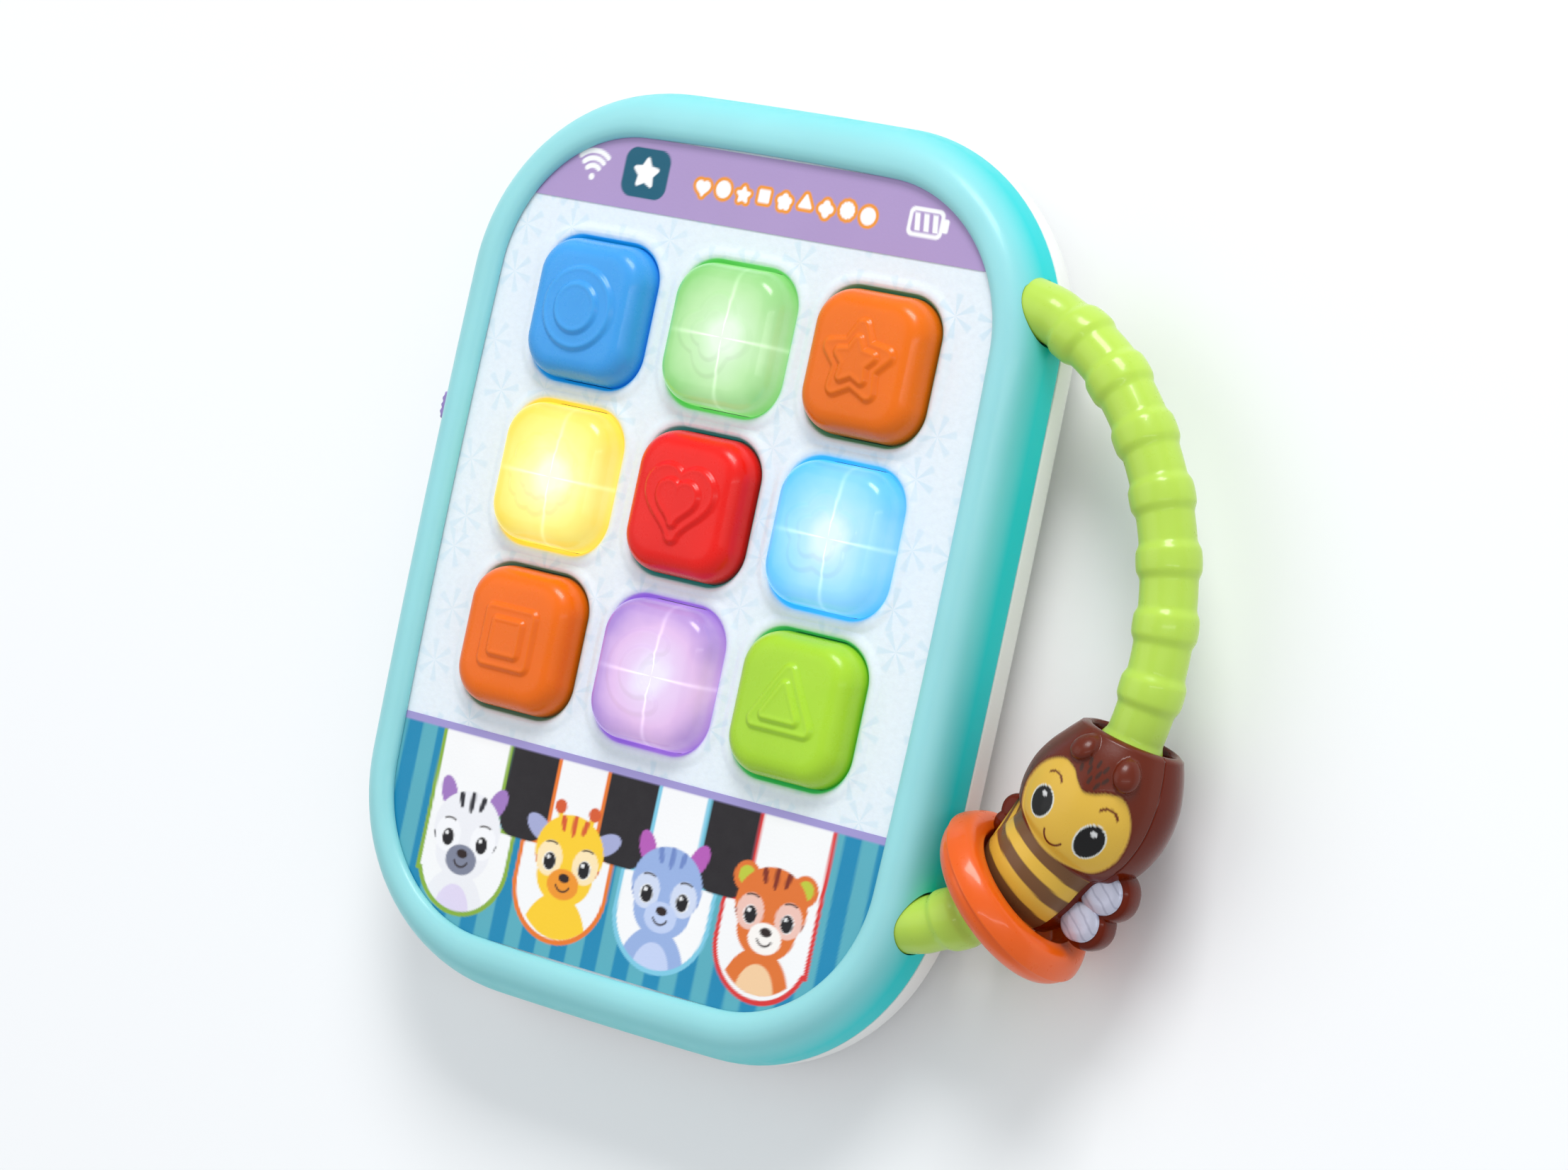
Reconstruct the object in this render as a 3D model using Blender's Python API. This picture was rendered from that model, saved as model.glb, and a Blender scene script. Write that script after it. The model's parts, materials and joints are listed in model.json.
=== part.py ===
"""Kids toy tablet with nine light-up buttons, a piano strip and a ridged handle with a sliding bee.

The tablet lies on its back, face up (+Z). X runs across it, with the handle at +X, and Y runs up
the face. The origin is the middle of the back, on the plane that it rests on. Metres throughout.
"""
from math import cos, pi, radians, sin

import bmesh
import bpy
from mathutils import Matrix, Vector

MM = 0.001

# Case: the window of the bezel, and how far each outline stands outside it
WINDOW_HALF = (66.4 * MM, 91.4 * MM)
WINDOW_CORNER = 33.0 * MM
WINDOW_BULGE = 2.0 * MM
BEZEL_WIDTH = 10.2 * MM
CASE_HALF = (76.6 * MM, 103.3 * MM)
CASE_CORNER = 47.0 * MM
CASE_BULGE = 1.5 * MM
CORNER_STEPS = 8
SIDE_STEPS = 4

# Heights above the resting plane
BACK_Z = 6.0 * MM
SEAM_Z = 16.0 * MM
PANEL_Z = 27.0 * MM
PANEL_THICK = 2.2 * MM
WALL = 2.2 * MM
GAP = 0.3 * MM

# Buttons: a three by three block
PITCH = 37.5 * MM
TOP_ROW_Y = 50.8 * MM
BUTTON_WINDOW = (15.5 * MM, 16.6 * MM)
CAP_HALF = (14.9 * MM, 15.9 * MM)
CAP_CORNER = 8.5 * MM
FLANGE_HALF = (16.5 * MM, 17.4 * MM)
CAP_TOP_Z = 35.3 * MM
PRESS_TRAVEL = 2.0 * MM
LED_OFFSET_Y = 9.0 * MM
LIT_BUTTONS = (2, 4, 6, 8)

# Circuit board stack
BOARD_HALF = (58.0 * MM, 57.0 * MM)
BOARD_Y = 13.0 * MM
BOARD_Z = 14.9 * MM
BOARD_THICK = 1.4 * MM
MEMBRANE_Z = BOARD_Z + BOARD_THICK + GAP
MEMBRANE_THICK = 0.8 * MM
DOME_TOP_Z = 18.9 * MM
PLUNGER_Z = DOME_TOP_Z + PRESS_TRAVEL + GAP
BAFFLE_WALL = 1.2 * MM

# Handle: a ridged tube bent to one arc in the XY plane
ARC_CENTRE = Vector((40.2 * MM, 3.2 * MM, 21.0 * MM))
ARC_RADIUS = 76.5 * MM
TUBE_VALLEY = 6.4 * MM
TUBE_RIDGE = 7.1 * MM
TUBE_SIDES = 12
RIDGE_ANGLE = 9.4
PLAIN_QUARTERS = 2
SOCKET_ANGLE = 64.0
TUBE_END_ANGLE = 69.0
SPIGOT_RADIUS = 3.3 * MM
SOCKET_RADIUS = 7.0 * MM
SLEEVE_BORE = 7.6 * MM

# Ring and bee, placed by their angle along the arc
RING_ANGLE = -45.0
RING_RADIUS = 19.4 * MM
RING_HALF_THICK = 4.2 * MM
BEE_LOW_ANGLE = -43.6
BEE_TOP_ANGLE = -13.0
WING_ANGLE = -36.5
WING_ROOT = 15.4 * MM

# Battery hump on the upper back
HUMP_Y = 47.0 * MM
HUMP_HALF = (46.0 * MM, 29.0 * MM)
DOOR_HALF = (30.5 * MM, 15.0 * MM)
DOOR_X = 0.5 * MM
DOOR_Z = 0.4 * MM
DOOR_THICK = 1.8 * MM
BAY_X = (-27.0 * MM, 22.0 * MM)
BAY_HALF_Y = 11.4 * MM
BAY_ROOF_Z = 13.4 * MM
CELL_RADIUS = 5.25 * MM
CELL_LENGTH = 44.5 * MM
CELL_Z = 8.1 * MM
CELL_OFFSET_Y = 5.65 * MM
DOOR_SCREW_X = 26.5 * MM

# Volume slider on the left side, speaker and feet on the lower back
SWITCH_Y = 23.6 * MM
SWITCH_Z = 20.5 * MM
SWITCH_THROW = 5.8 * MM
SPEAKER_Y = -64.0 * MM
SPEAKER_RADIUS = 20.0 * MM
POST_PLACES = ((0.0, 0.0), (48.0 * MM, -68.0 * MM), (-48.0 * MM, -68.0 * MM))
PAD_PLACES = POST_PLACES + ((38.0 * MM, 69.0 * MM), (-38.0 * MM, 69.0 * MM))
PAD_RADIUS = 4.2 * MM
PAD_THICK = 1.2 * MM
BELLY_Z = 0.3 * MM
SCREW_PLACES = tuple((sx * x * MM, y * MM) for sx in (-1, 1) for x, y in ((50, 80), (64.5, -14), (50, -82)))

TEAL = (0.26, 0.74, 0.76)
CREAM = (0.88, 0.88, 0.86)
PANEL_WHITE = (0.84, 0.91, 0.94)
LIME = (0.48, 0.72, 0.12)
ORANGE = (0.88, 0.25, 0.04)
BROWN = (0.17, 0.035, 0.01)
YELLOW = (0.85, 0.55, 0.13)
STEEL = (0.62, 0.62, 0.64)
DARK = (0.04, 0.04, 0.05)
CAP_COLOURS = (
    (0.12, 0.42, 0.86), (0.42, 0.80, 0.36), (0.90, 0.30, 0.03),
    (0.96, 0.86, 0.12), (0.82, 0.04, 0.03), (0.22, 0.66, 0.94),
    (0.90, 0.30, 0.03), (0.66, 0.42, 0.82), (0.42, 0.74, 0.10),
)


def clear_scene():
    """Remove what the scene holds, so the model starts from nothing."""
    for old in list(bpy.data.objects):
        bpy.data.objects.remove(old, do_unlink=True)


def make_collection(name):
    """Return a new collection in the scene."""
    collection = bpy.data.collections.new(name)
    bpy.context.scene.collection.children.link(collection)
    return collection


def material(name, colour, roughness=0.35, metallic=0.0):
    """Return a Principled material, made once for each name."""
    found = bpy.data.materials.get(name)
    if found:
        return found
    made = bpy.data.materials.new(name)
    made.use_nodes = True
    shader = made.node_tree.nodes["Principled BSDF"]
    shader.inputs["Base Color"].default_value = (*colour, 1.0)
    shader.inputs["Roughness"].default_value = roughness
    shader.inputs["Metallic"].default_value = metallic
    made.diffuse_color = (*colour, 1.0)
    return made


def finish_mesh(bm, name):
    """Turn a bmesh into a smooth-shaded mesh whose faces point out."""
    bmesh.ops.remove_doubles(bm, verts=bm.verts, dist=0.001 * MM)
    bmesh.ops.recalc_face_normals(bm, faces=bm.faces)
    mesh = bpy.data.meshes.new(name)
    bm.to_mesh(mesh)
    bm.free()
    mesh.shade_smooth()
    mesh.set_sharp_from_angle(angle=radians(35))
    return mesh


def add_part(name, mesh, paint, origin=(0.0, 0.0, 0.0)):
    """Add a visible sub-part; its mesh is given in world places and moved to its own origin."""
    if any(origin):
        mesh.transform(Matrix.Translation(-Vector(origin)))
    part = bpy.data.objects.new(name, mesh)
    part.location = origin
    mesh.materials.clear()
    mesh.materials.append(paint)
    PARTS.objects.link(part)
    return part


def add_cutter(name, mesh):
    """Add a guide solid that cuts or joins other parts and is not part of the object."""
    cutter = bpy.data.objects.new(name, mesh)
    cutter.hide_render = True
    cutter.display_type = 'WIRE'
    CUTTERS.objects.link(cutter)
    return cutter


def boolean(part, cutter, operation='DIFFERENCE'):
    """Cut a part with a solid, or join the solid to it."""
    modifier = part.modifiers.new(cutter.name, 'BOOLEAN')
    modifier.object = cutter
    modifier.operation = operation
    modifier.solver = 'EXACT'


def rounded_outline(half, corner, bulge, corner_steps=CORNER_STEPS, side_steps=SIDE_STEPS):
    """Return the points of a rounded rectangle whose sides bow outwards by the bulge."""
    half_x, half_y = half
    points = []
    for quarter in range(4):
        centre_x = (half_x - corner) * (1 if quarter in (0, 3) else -1)
        centre_y = (half_y - corner) * (1 if quarter in (0, 1) else -1)
        for step in range(corner_steps):
            turn = (quarter + step / (corner_steps - 1)) * pi / 2
            points.append((centre_x + corner * cos(turn), centre_y + corner * sin(turn)))
    outline = []
    for index, (x, y) in enumerate(points):
        outline.append((x, y))
        if index % corner_steps == corner_steps - 1:
            next_x, next_y = points[(index + 1) % len(points)]
            for step in range(1, side_steps):
                part = step / side_steps
                outline.append((x + (next_x - x) * part, y + (next_y - y) * part))
    bowed = []
    for x, y in outline:
        pull_x = bulge * (y / half_y) ** 2 * (abs(x) / half_x) ** 4
        pull_y = bulge * (x / half_x) ** 2 * (abs(y) / half_y) ** 4
        bowed.append((x - pull_x * (1 if x > 0 else -1), y - pull_y * (1 if y > 0 else -1)))
    return bowed


def case_ring(offset, z):
    """Return the case outline at a distance outside the bezel's window, at a height."""
    share = offset / BEZEL_WIDTH
    half = tuple(inner + (outer - inner) * share for inner, outer in zip(WINDOW_HALF, CASE_HALF))
    corner = WINDOW_CORNER + (CASE_CORNER - WINDOW_CORNER) * share
    bulge = WINDOW_BULGE + (CASE_BULGE - WINDOW_BULGE) * share
    return [Vector((x, y, z)) for x, y in rounded_outline(half, corner, bulge)]


def pad_ring(centre, half, corner, z, corner_steps=3):
    """Return a rounded rectangle with straight sides, at a height."""
    outline = rounded_outline(half, corner, 0.0, corner_steps, 1)
    return [Vector((centre[0] + x, centre[1] + y, z)) for x, y in outline]


def loft(name, rings, closed=False):
    """Join equal rings of points in order; the ends are filled, or joined into a closed hoop."""
    bm = bmesh.new()
    rows = [[bm.verts.new(point) for point in ring] for ring in rings]
    pairs = list(zip(rows, rows[1:]))
    if closed:
        pairs.append((rows[-1], rows[0]))
    for low, high in pairs:
        for index in range(len(low)):
            after = (index + 1) % len(low)
            bm.faces.new((low[index], low[after], high[after], high[index]))
    if not closed:
        bm.faces.new(rows[0])
        bm.faces.new(rows[-1])
    return finish_mesh(bm, name)


def block(bm, low, high):
    """Add a box between two corners to a bmesh."""
    size = Vector(high) - Vector(low)
    centre = (Vector(high) + Vector(low)) / 2
    bmesh.ops.create_cube(bm, size=1.0, matrix=Matrix.Translation(centre) @ Matrix.Diagonal((*size, 1.0)))


def rod(bm, centre, low_z, high_z, radius, top_radius=None, sides=16):
    """Add an upright cylinder or cone to a bmesh."""
    middle = Matrix.Translation((centre[0], centre[1], (low_z + high_z) / 2))
    bmesh.ops.create_cone(
        bm, cap_ends=True, segments=sides, radius1=radius,
        radius2=radius if top_radius is None else top_radius, depth=high_z - low_z, matrix=middle)


def box_mesh(name, low, high):
    """Return a plain box as a mesh."""
    bm = bmesh.new()
    block(bm, low, high)
    return finish_mesh(bm, name)


def rods_mesh(name, centres, low_z, high_z, radius, top_radius=None, sides=16):
    """Return one mesh with an upright cylinder or cone at each place."""
    bm = bmesh.new()
    for centre in centres:
        rod(bm, centre, low_z, high_z, radius, top_radius, sides)
    return finish_mesh(bm, name)


def turned_mesh(name, profile, centre, sides=20):
    """Turn a closed profile of (radius, height) pairs about an upright line at a place."""
    rings = []
    for radius, z in profile:
        turns = (2 * pi * step / sides for step in range(sides))
        rings.append([Vector((centre[0] + radius * cos(t), centre[1] + radius * sin(t), z)) for t in turns])
    return loft(name, rings, closed=True)


def arc_frame(angle):
    """Return the handle axis point at an arc angle, and the outward direction there."""
    outward = Vector((cos(radians(angle)), sin(radians(angle)), 0.0))
    return ARC_CENTRE + outward * ARC_RADIUS, outward


def arc_ring(angle, radius, sides=TUBE_SIDES):
    """Return a round section of the handle at an arc angle."""
    centre, outward = arc_frame(angle)
    turns = (2 * pi * step / sides for step in range(sides))
    return [centre + outward * radius * cos(t) + Vector((0, 0, radius * sin(t))) for t in turns]


def arc_shell(name, stations, bore, start, end, steps):
    """Loft a part-round wall along the handle's arc.

    A station is (arc angle, radius across the tablet, radius upwards). The wall runs from the bore
    to those radii, from the start to the end angle about the tube, where 90 degrees is up.
    """
    rings = []
    for angle, across, up in stations:
        centre, outward = arc_frame(angle)
        turns = [radians(start + (end - start) * step / steps) for step in range(steps + 1)]
        outer = [centre + outward * across * cos(t) + Vector((0, 0, up * sin(t))) for t in turns]
        inner = [centre + outward * bore * cos(t) + Vector((0, 0, bore * sin(t))) for t in reversed(turns)]
        rings.append(outer + inner)
    return loft(name, rings)


def button_centres():
    """Return the nine button places, row by row from the top left."""
    return [(column * PITCH, TOP_ROW_Y - row * PITCH) for row in range(3) for column in (-1, 0, 1)]


def build_front_shell(socket_cutter):
    """Round bezel frame in teal, down to the seam, with the handle's sockets and the slider's slot."""
    profile = (
        (0.0, 27.3), (0.0, 27.9), (0.9, 28.8), (2.6, 29.4), (4.6, 29.2), (6.4, 28.2), (7.8, 26.7),
        (8.9, 24.2), (9.6, 21.0), (10.0, 18.5), (10.2, 16.0),
        (8.2, 16.0), (7.9, 20.0), (7.0, 24.0), (5.6, 26.4), (4.6, 27.3),
    )
    rings = [case_ring(offset * MM, z * MM) for offset, z in profile]
    shell = add_part('front_shell', loft('front_shell', rings, closed=True), material('teal', TEAL))
    slot_half = SWITCH_THROW + 2.4 * MM
    slot = box_mesh('slider_slot', (-80 * MM, SWITCH_Y - slot_half, SWITCH_Z - 1.4 * MM),
                    (-70 * MM, SWITCH_Y + slot_half, SWITCH_Z + 1.4 * MM))
    boolean(shell, add_cutter('slider_slot', slot))
    boolean(shell, socket_cutter)


def build_back_shell(socket_cutter):
    """Off-white tray with the battery hump and its bay, feet, screw bosses and speaker holes."""
    outer = ((10.2, 15.7), (10.2, 12.5), (9.7, 9.6), (8.2, 7.4), (6.0, 6.3), (3.5, 6.0))
    inner = ((3.5, 8.2), (6.4, 8.7), (7.8, 10.6), (8.0, 12.6), (8.0, 15.7))
    rows = [case_ring(offset * MM, z * MM) for offset, z in outer]
    rows_in = [case_ring(offset * MM, z * MM) for offset, z in inner]
    bm = bmesh.new()
    walls = [[bm.verts.new(point) for point in ring] for ring in rows + rows_in]
    for index, low in enumerate(walls):
        high = walls[(index + 1) % len(walls)]
        if index == len(rows) - 1:
            bm.faces.new(low)
            bm.faces.new(high)
            continue
        for place in range(len(low)):
            after = (place + 1) % len(low)
            bm.faces.new((low[place], low[after], high[after], high[place]))
    shell = add_part('back_shell', finish_mesh(bm, 'back_shell'), material('cream', CREAM))

    hump_rows = ((-3.2, 0.3), (-1.0, 0.9), (0.0, 2.6), (1.6, 7.0))
    hump = [pad_ring((0, HUMP_Y), [h + grow * MM for h in HUMP_HALF], (14 + grow) * MM, z * MM)
            for grow, z in hump_rows]
    boolean(shell, add_cutter('hump', loft('hump', hump)), 'UNION')
    hollow = [pad_ring((0, HUMP_Y), [h - 2.6 * MM for h in HUMP_HALF], 12 * MM, z)
              for z in (2.5 * MM, BACK_Z + 3 * MM)]
    boolean(shell, add_cutter('hump_hollow', loft('hump_hollow', hollow)))

    bm = bmesh.new()
    for place in POST_PLACES:
        rod(bm, place, BELLY_Z, BACK_Z + 1 * MM, 6.0 * MM, 7.5 * MM)
    for place in SCREW_PLACES:
        rod(bm, place, BACK_Z + 1.0 * MM, SEAM_Z - 0.6 * MM, 4.8 * MM, 4.2 * MM)
    boolean(shell, add_cutter('feet_and_bosses', finish_mesh(bm, 'feet_and_bosses')), 'UNION')
    ledge = 4.6 * MM
    bay = box_mesh('bay_walls', (BAY_X[0] - ledge, HUMP_Y - BAY_HALF_Y - ledge, 1.0 * MM),
                   (DOOR_X + DOOR_HALF[0] + 1.5 * MM, HUMP_Y + BAY_HALF_Y + ledge, BAY_ROOF_Z + 1.1 * MM))
    boolean(shell, add_cutter('bay_walls', bay), 'UNION')

    bm = bmesh.new()
    block(bm, (BAY_X[0], HUMP_Y - BAY_HALF_Y, -1 * MM), (BAY_X[1], HUMP_Y + BAY_HALF_Y, BAY_ROOF_Z))
    boolean(shell, add_cutter('bay', finish_mesh(bm, 'bay')))
    opening = [pad_ring((DOOR_X, HUMP_Y), [h + 0.4 * MM for h in DOOR_HALF], 3.4 * MM, z * MM)
               for z in (-1.0, 2.5)]
    boolean(shell, add_cutter('door_opening', loft('door_opening', opening)))
    boolean(shell, add_cutter('door_screw_hole', rods_mesh(
        'door_screw_hole', [(DOOR_SCREW_X, HUMP_Y)], 1 * MM, 7.5 * MM, 1.7 * MM, sides=12)))

    boolean(shell, add_cutter('head_holes', rods_mesh(
        'head_holes', SCREW_PLACES, BACK_Z - 2 * MM, BACK_Z + 3.0 * MM, 3.2 * MM, sides=12)))
    boolean(shell, add_cutter('shank_holes', rods_mesh(
        'shank_holes', SCREW_PLACES, BACK_Z, SEAM_Z + 1 * MM, 1.5 * MM, sides=10)))
    holes = [(0.0, SPEAKER_Y)]
    for count, radius in ((6, 6.5 * MM), (12, 12.5 * MM)):
        turns = (2 * pi * step / count for step in range(count))
        holes += [(radius * cos(t), SPEAKER_Y + radius * sin(t)) for t in turns]
    boolean(shell, add_cutter('speaker_holes', rods_mesh(
        'speaker_holes', holes, BACK_Z - 1 * MM, BACK_Z + 3 * MM, 1.6 * MM, sides=8)))
    boolean(shell, add_cutter('pad_recesses', rods_mesh(
        'pad_recesses', PAD_PLACES, -1 * MM, PAD_THICK + 0.3 * MM, PAD_RADIUS + 0.3 * MM, sides=16)))
    boolean(shell, socket_cutter)


def build_foot_pads():
    """Soft pads let into the hump and the three posts, so that the toy doesn't slide."""
    for number, place in enumerate(PAD_PLACES, 1):
        pad = rods_mesh(f'foot_pad_{number}', [place], 0.0, PAD_THICK, PAD_RADIUS, sides=16)
        add_part(f'foot_pad_{number}', pad, material('pad_grey', (0.62, 0.63, 0.64), roughness=0.8))


def build_face_panel():
    """White face plate with nine windows, and the posts that the case screws bite into."""
    rings = [case_ring(4.0 * MM, z) for z in (PANEL_Z - PANEL_THICK, PANEL_Z)]
    panel = add_part('face_panel', loft('face_panel', rings), material('panel_white', PANEL_WHITE))
    bm = bmesh.new()
    for place in SCREW_PLACES:
        rod(bm, place, SEAM_Z, PANEL_Z - 0.5 * MM, 3.4 * MM, 3.8 * MM, 12)
    boolean(panel, add_cutter('posts', finish_mesh(bm, 'posts')), 'UNION')
    boolean(panel, add_cutter('post_holes', rods_mesh(
        'post_holes', SCREW_PLACES, SEAM_Z - 1 * MM, PANEL_Z - 3.5 * MM, 1.3 * MM, sides=10)))
    bm = bmesh.new()
    for centre in button_centres():
        outline = pad_ring(centre, BUTTON_WINDOW, 9.0 * MM, PANEL_Z - 5 * MM)
        rise = Vector((0, 0, 8 * MM))
        low = [bm.verts.new(point) for point in outline]
        high = [bm.verts.new(point + rise) for point in outline]
        for place in range(len(low)):
            after = (place + 1) % len(low)
            bm.faces.new((low[place], low[after], high[after], high[place]))
        bm.faces.new(low)
        bm.faces.new(high)
    boolean(panel, add_cutter('button_windows', finish_mesh(bm, 'button_windows')))


def label_mesh(name, low_y, high_y):
    """Return the stretch of a thin printed sheet that fills the window between two heights on the face."""
    outline = case_ring(-0.5 * MM, 0.0)
    kept = []
    for point, after in zip(outline, outline[1:] + outline[:1]):
        if low_y <= point.y <= high_y:
            kept.append(point.copy())
        for limit in (low_y, high_y):
            if (point.y - limit) * (after.y - limit) < 0:
                share = (limit - point.y) / (after.y - point.y)
                kept.append(point.lerp(after, share))
    centre = Vector((0, (low_y + high_y) / 2, 0))
    kept.sort(key=lambda point: (point - centre).to_2d().angle_signed(Vector((1, 0))))
    levels = (PANEL_Z + GAP, PANEL_Z + GAP + 0.25 * MM)
    return loft(name, [[point + Vector((0, 0, z)) for point in kept] for z in levels])


def build_labels():
    """Printed header and piano sheets, and the touch film behind the piano."""
    add_part('header_label', label_mesh('header_label', 74.8 * MM, 100 * MM), material('lilac', (0.42, 0.30, 0.55)))
    add_part('piano_label', label_mesh('piano_label', -100 * MM, -46.0 * MM),
             material('piano_print', (0.05, 0.42, 0.52)))
    film = [pad_ring((0, -66 * MM), (46 * MM, 19 * MM), 8 * MM, z * MM, 3) for z in (24.1, 24.4)]
    add_part('touch_film', loft('touch_film', film), material('film', (0.7, 0.55, 0.25), 0.3))


def cap_mesh():
    """Hollow button cap with a flange below and a stem in the middle, centred on its own place."""
    outer = ((22.9, 1.6), (24.5, 1.6), (24.5, 0.0), (28.2, -0.2), (31.4, -1.5), (33.9, -3.9), (35.0, -6.6))
    inner = ((33.2, -7.4), (32.0, -4.8), (29.5, -2.6), (26.0, -1.8), (22.9, -1.8))
    rings = []
    for z, grow in outer:
        half = [h + grow * MM for h in CAP_HALF]
        rings.append(pad_ring((0, 0), half, max(CAP_CORNER + grow * MM, 4.6 * MM), z * MM))
    rings.append(pad_ring((0, 0), (4 * MM, 4 * MM), 4 * MM, CAP_TOP_Z))
    cap_rows = rings
    inside = []
    for z, grow in reversed(inner):
        half = [h + grow * MM for h in CAP_HALF]
        inside.append(pad_ring((0, 0), half, max(CAP_CORNER + grow * MM, 4.0 * MM), z * MM))
    inside.append(pad_ring((0, 0), (2.6 * MM, 2.6 * MM), 2.6 * MM, 33.4 * MM))
    inside.append(pad_ring((0, 0), (2.2 * MM, 2.2 * MM), 2.2 * MM, PLUNGER_Z))
    return loft('button_cap', list(reversed(inside)) + cap_rows)


def build_buttons():
    """Nine caps, each held up under the panel by its flange and free to be pressed."""
    for number, ((x, y), colour) in enumerate(zip(button_centres(), CAP_COLOURS), start=1):
        mesh = cap_mesh()
        name = f'button_cap_{number}'
        mesh.name = name
        part = bpy.data.objects.new(name, mesh)
        part.location = (x, y, 0.0)
        mesh.materials.append(material(f'cap_{number}', colour, 0.2))
        PARTS.objects.link(part)


def build_board_stack():
    """Circuit board, rubber keypad sheet, light baffle and the four lamps."""
    low = (-BOARD_HALF[0], BOARD_Y - BOARD_HALF[1], BOARD_Z)
    high = (BOARD_HALF[0], BOARD_Y + BOARD_HALF[1], BOARD_Z + BOARD_THICK)
    add_part('main_board', box_mesh('main_board', low, high), material('board_green', (0.02, 0.22, 0.08)))

    half = PITCH * 1.5
    sheet = box_mesh('keypad_sheet', (-half, TOP_ROW_Y - PITCH - half, MEMBRANE_Z),
                     (half, TOP_ROW_Y - PITCH + half, MEMBRANE_Z + MEMBRANE_THICK))
    sheet_part = add_part('keypad_sheet', sheet, material('rubber_grey', (0.35, 0.36, 0.38), 0.8))
    domes = rods_mesh('domes', button_centres(), MEMBRANE_Z + 0.4 * MM, DOME_TOP_Z, 5 * MM, 3 * MM, 10)
    boolean(sheet_part, add_cutter('domes', domes), 'UNION')
    lamps = [button_centres()[number - 1] for number in LIT_BUTTONS]
    lamp_places = [(x, y + LED_OFFSET_Y) for x, y in lamps]
    boolean(sheet_part, add_cutter('lamp_holes', rods_mesh(
        'lamp_holes', lamp_places, BOARD_Z, DOME_TOP_Z, 2.6 * MM, sides=10)))
    for number, place in zip(LIT_BUTTONS, lamp_places):
        lamp = rods_mesh(f'lamp_{number}', [place], BOARD_Z + BOARD_THICK + GAP, 20.4 * MM, 1.7 * MM, 1.3 * MM, 10)
        add_part(f'lamp_{number}', lamp, material('lamp', (0.9, 0.9, 0.8), 0.1))

    baffle = box_mesh('light_baffle', (-half - 0.6 * MM, TOP_ROW_Y - PITCH - half - 0.6 * MM, 17.8 * MM),
                      (half + 0.6 * MM, TOP_ROW_Y - PITCH + half + 0.6 * MM, 24.4 * MM))
    baffle_part = add_part('light_baffle', baffle, material('baffle_white', (0.8, 0.8, 0.8)))
    bm = bmesh.new()
    cell = (PITCH - BAFFLE_WALL) / 2
    for x, y in button_centres():
        block(bm, (x - cell, y - cell, 16 * MM), (x + cell, y + cell, 26 * MM))
    boolean(baffle_part, add_cutter('baffle_cells', finish_mesh(bm, 'baffle_cells')))


def build_speaker():
    """Round speaker behind the holes: basket, paper cone and magnet."""
    place = (0.0, SPEAKER_Y)
    frame = ((20.0, 8.6), (20.0, 10.2), (17.6, 10.4), (12.2, 14.4), (9.0, 14.4), (9.0, 13.4), (11.8, 13.4), (16.6, 8.6))
    add_part('speaker_frame', turned_mesh('speaker_frame', [(r * MM, z * MM) for r, z in frame], place),
             material('steel', STEEL, 0.4, 1.0))
    cone = ((16.0, 8.7), (16.0, 8.9), (11.0, 12.6), (4.0, 12.9), (0.6, 12.9), (0.6, 12.5), (4.0, 12.5), (10.8, 12.2))
    add_part('speaker_cone', turned_mesh('speaker_cone', [(r * MM, z * MM) for r, z in cone], place, 16),
             material('paper_black', DARK, 0.8))
    add_part('speaker_magnet', rods_mesh('speaker_magnet', [place], 14.7 * MM, 20.0 * MM, 11 * MM, sides=20),
             material('steel', STEEL, 0.4, 1.0))


def build_batteries():
    """Two slim cells in their bay, with the end contacts and springs."""
    middle_x = (BAY_X[0] + BAY_X[1]) / 2 - 0.6 * MM
    steel = material('steel', STEEL, 0.4, 1.0)
    for side, name in ((1, 'a'), (-1, 'b')):
        y = HUMP_Y + side * CELL_OFFSET_Y
        bm = bmesh.new()
        lay = Matrix.Translation((middle_x, y, CELL_Z)) @ Matrix.Rotation(pi / 2, 4, 'Y')
        bmesh.ops.create_cone(bm, cap_ends=True, segments=16, radius1=CELL_RADIUS, radius2=CELL_RADIUS,
                              depth=CELL_LENGTH - 1.0 * MM, matrix=lay)
        add_part(f'battery_{name}', finish_mesh(bm, f'battery_{name}'), material('cell_wrap', DARK))
        for bay_end, end_name in ((BAY_X[0] + 0.9 * MM, 'left'), (BAY_X[1] - 0.9 * MM, 'right')):
            contact = f'contact_{end_name}_{name}'
            add_part(contact, box_mesh(contact, (bay_end - 0.3 * MM, y - 4.5 * MM, CELL_Z - 4 * MM),
                                       (bay_end + 0.3 * MM, y + 4.5 * MM, CELL_Z + 4 * MM)), steel)


def build_fasteners():
    """Six case screws let into the back, with cone-shaped tips."""
    steel = material('steel', STEEL, 0.4, 1.0)
    for number, place in enumerate(SCREW_PLACES, start=1):
        profile = ((2.8, 6.5), (2.8, 8.1), (1.0, 8.7), (1.0, 21.0), (0.3, 22.6))
        rings = []
        for radius, z in profile:
            turns = (2 * pi * step / 10 for step in range(10))
            rings.append([Vector((place[0] + radius * MM * cos(t), place[1] + radius * MM * sin(t), z * MM))
                          for t in turns])
        add_part(f'case_screw_{number}', loft(f'case_screw_{number}', rings), steel)


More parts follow.
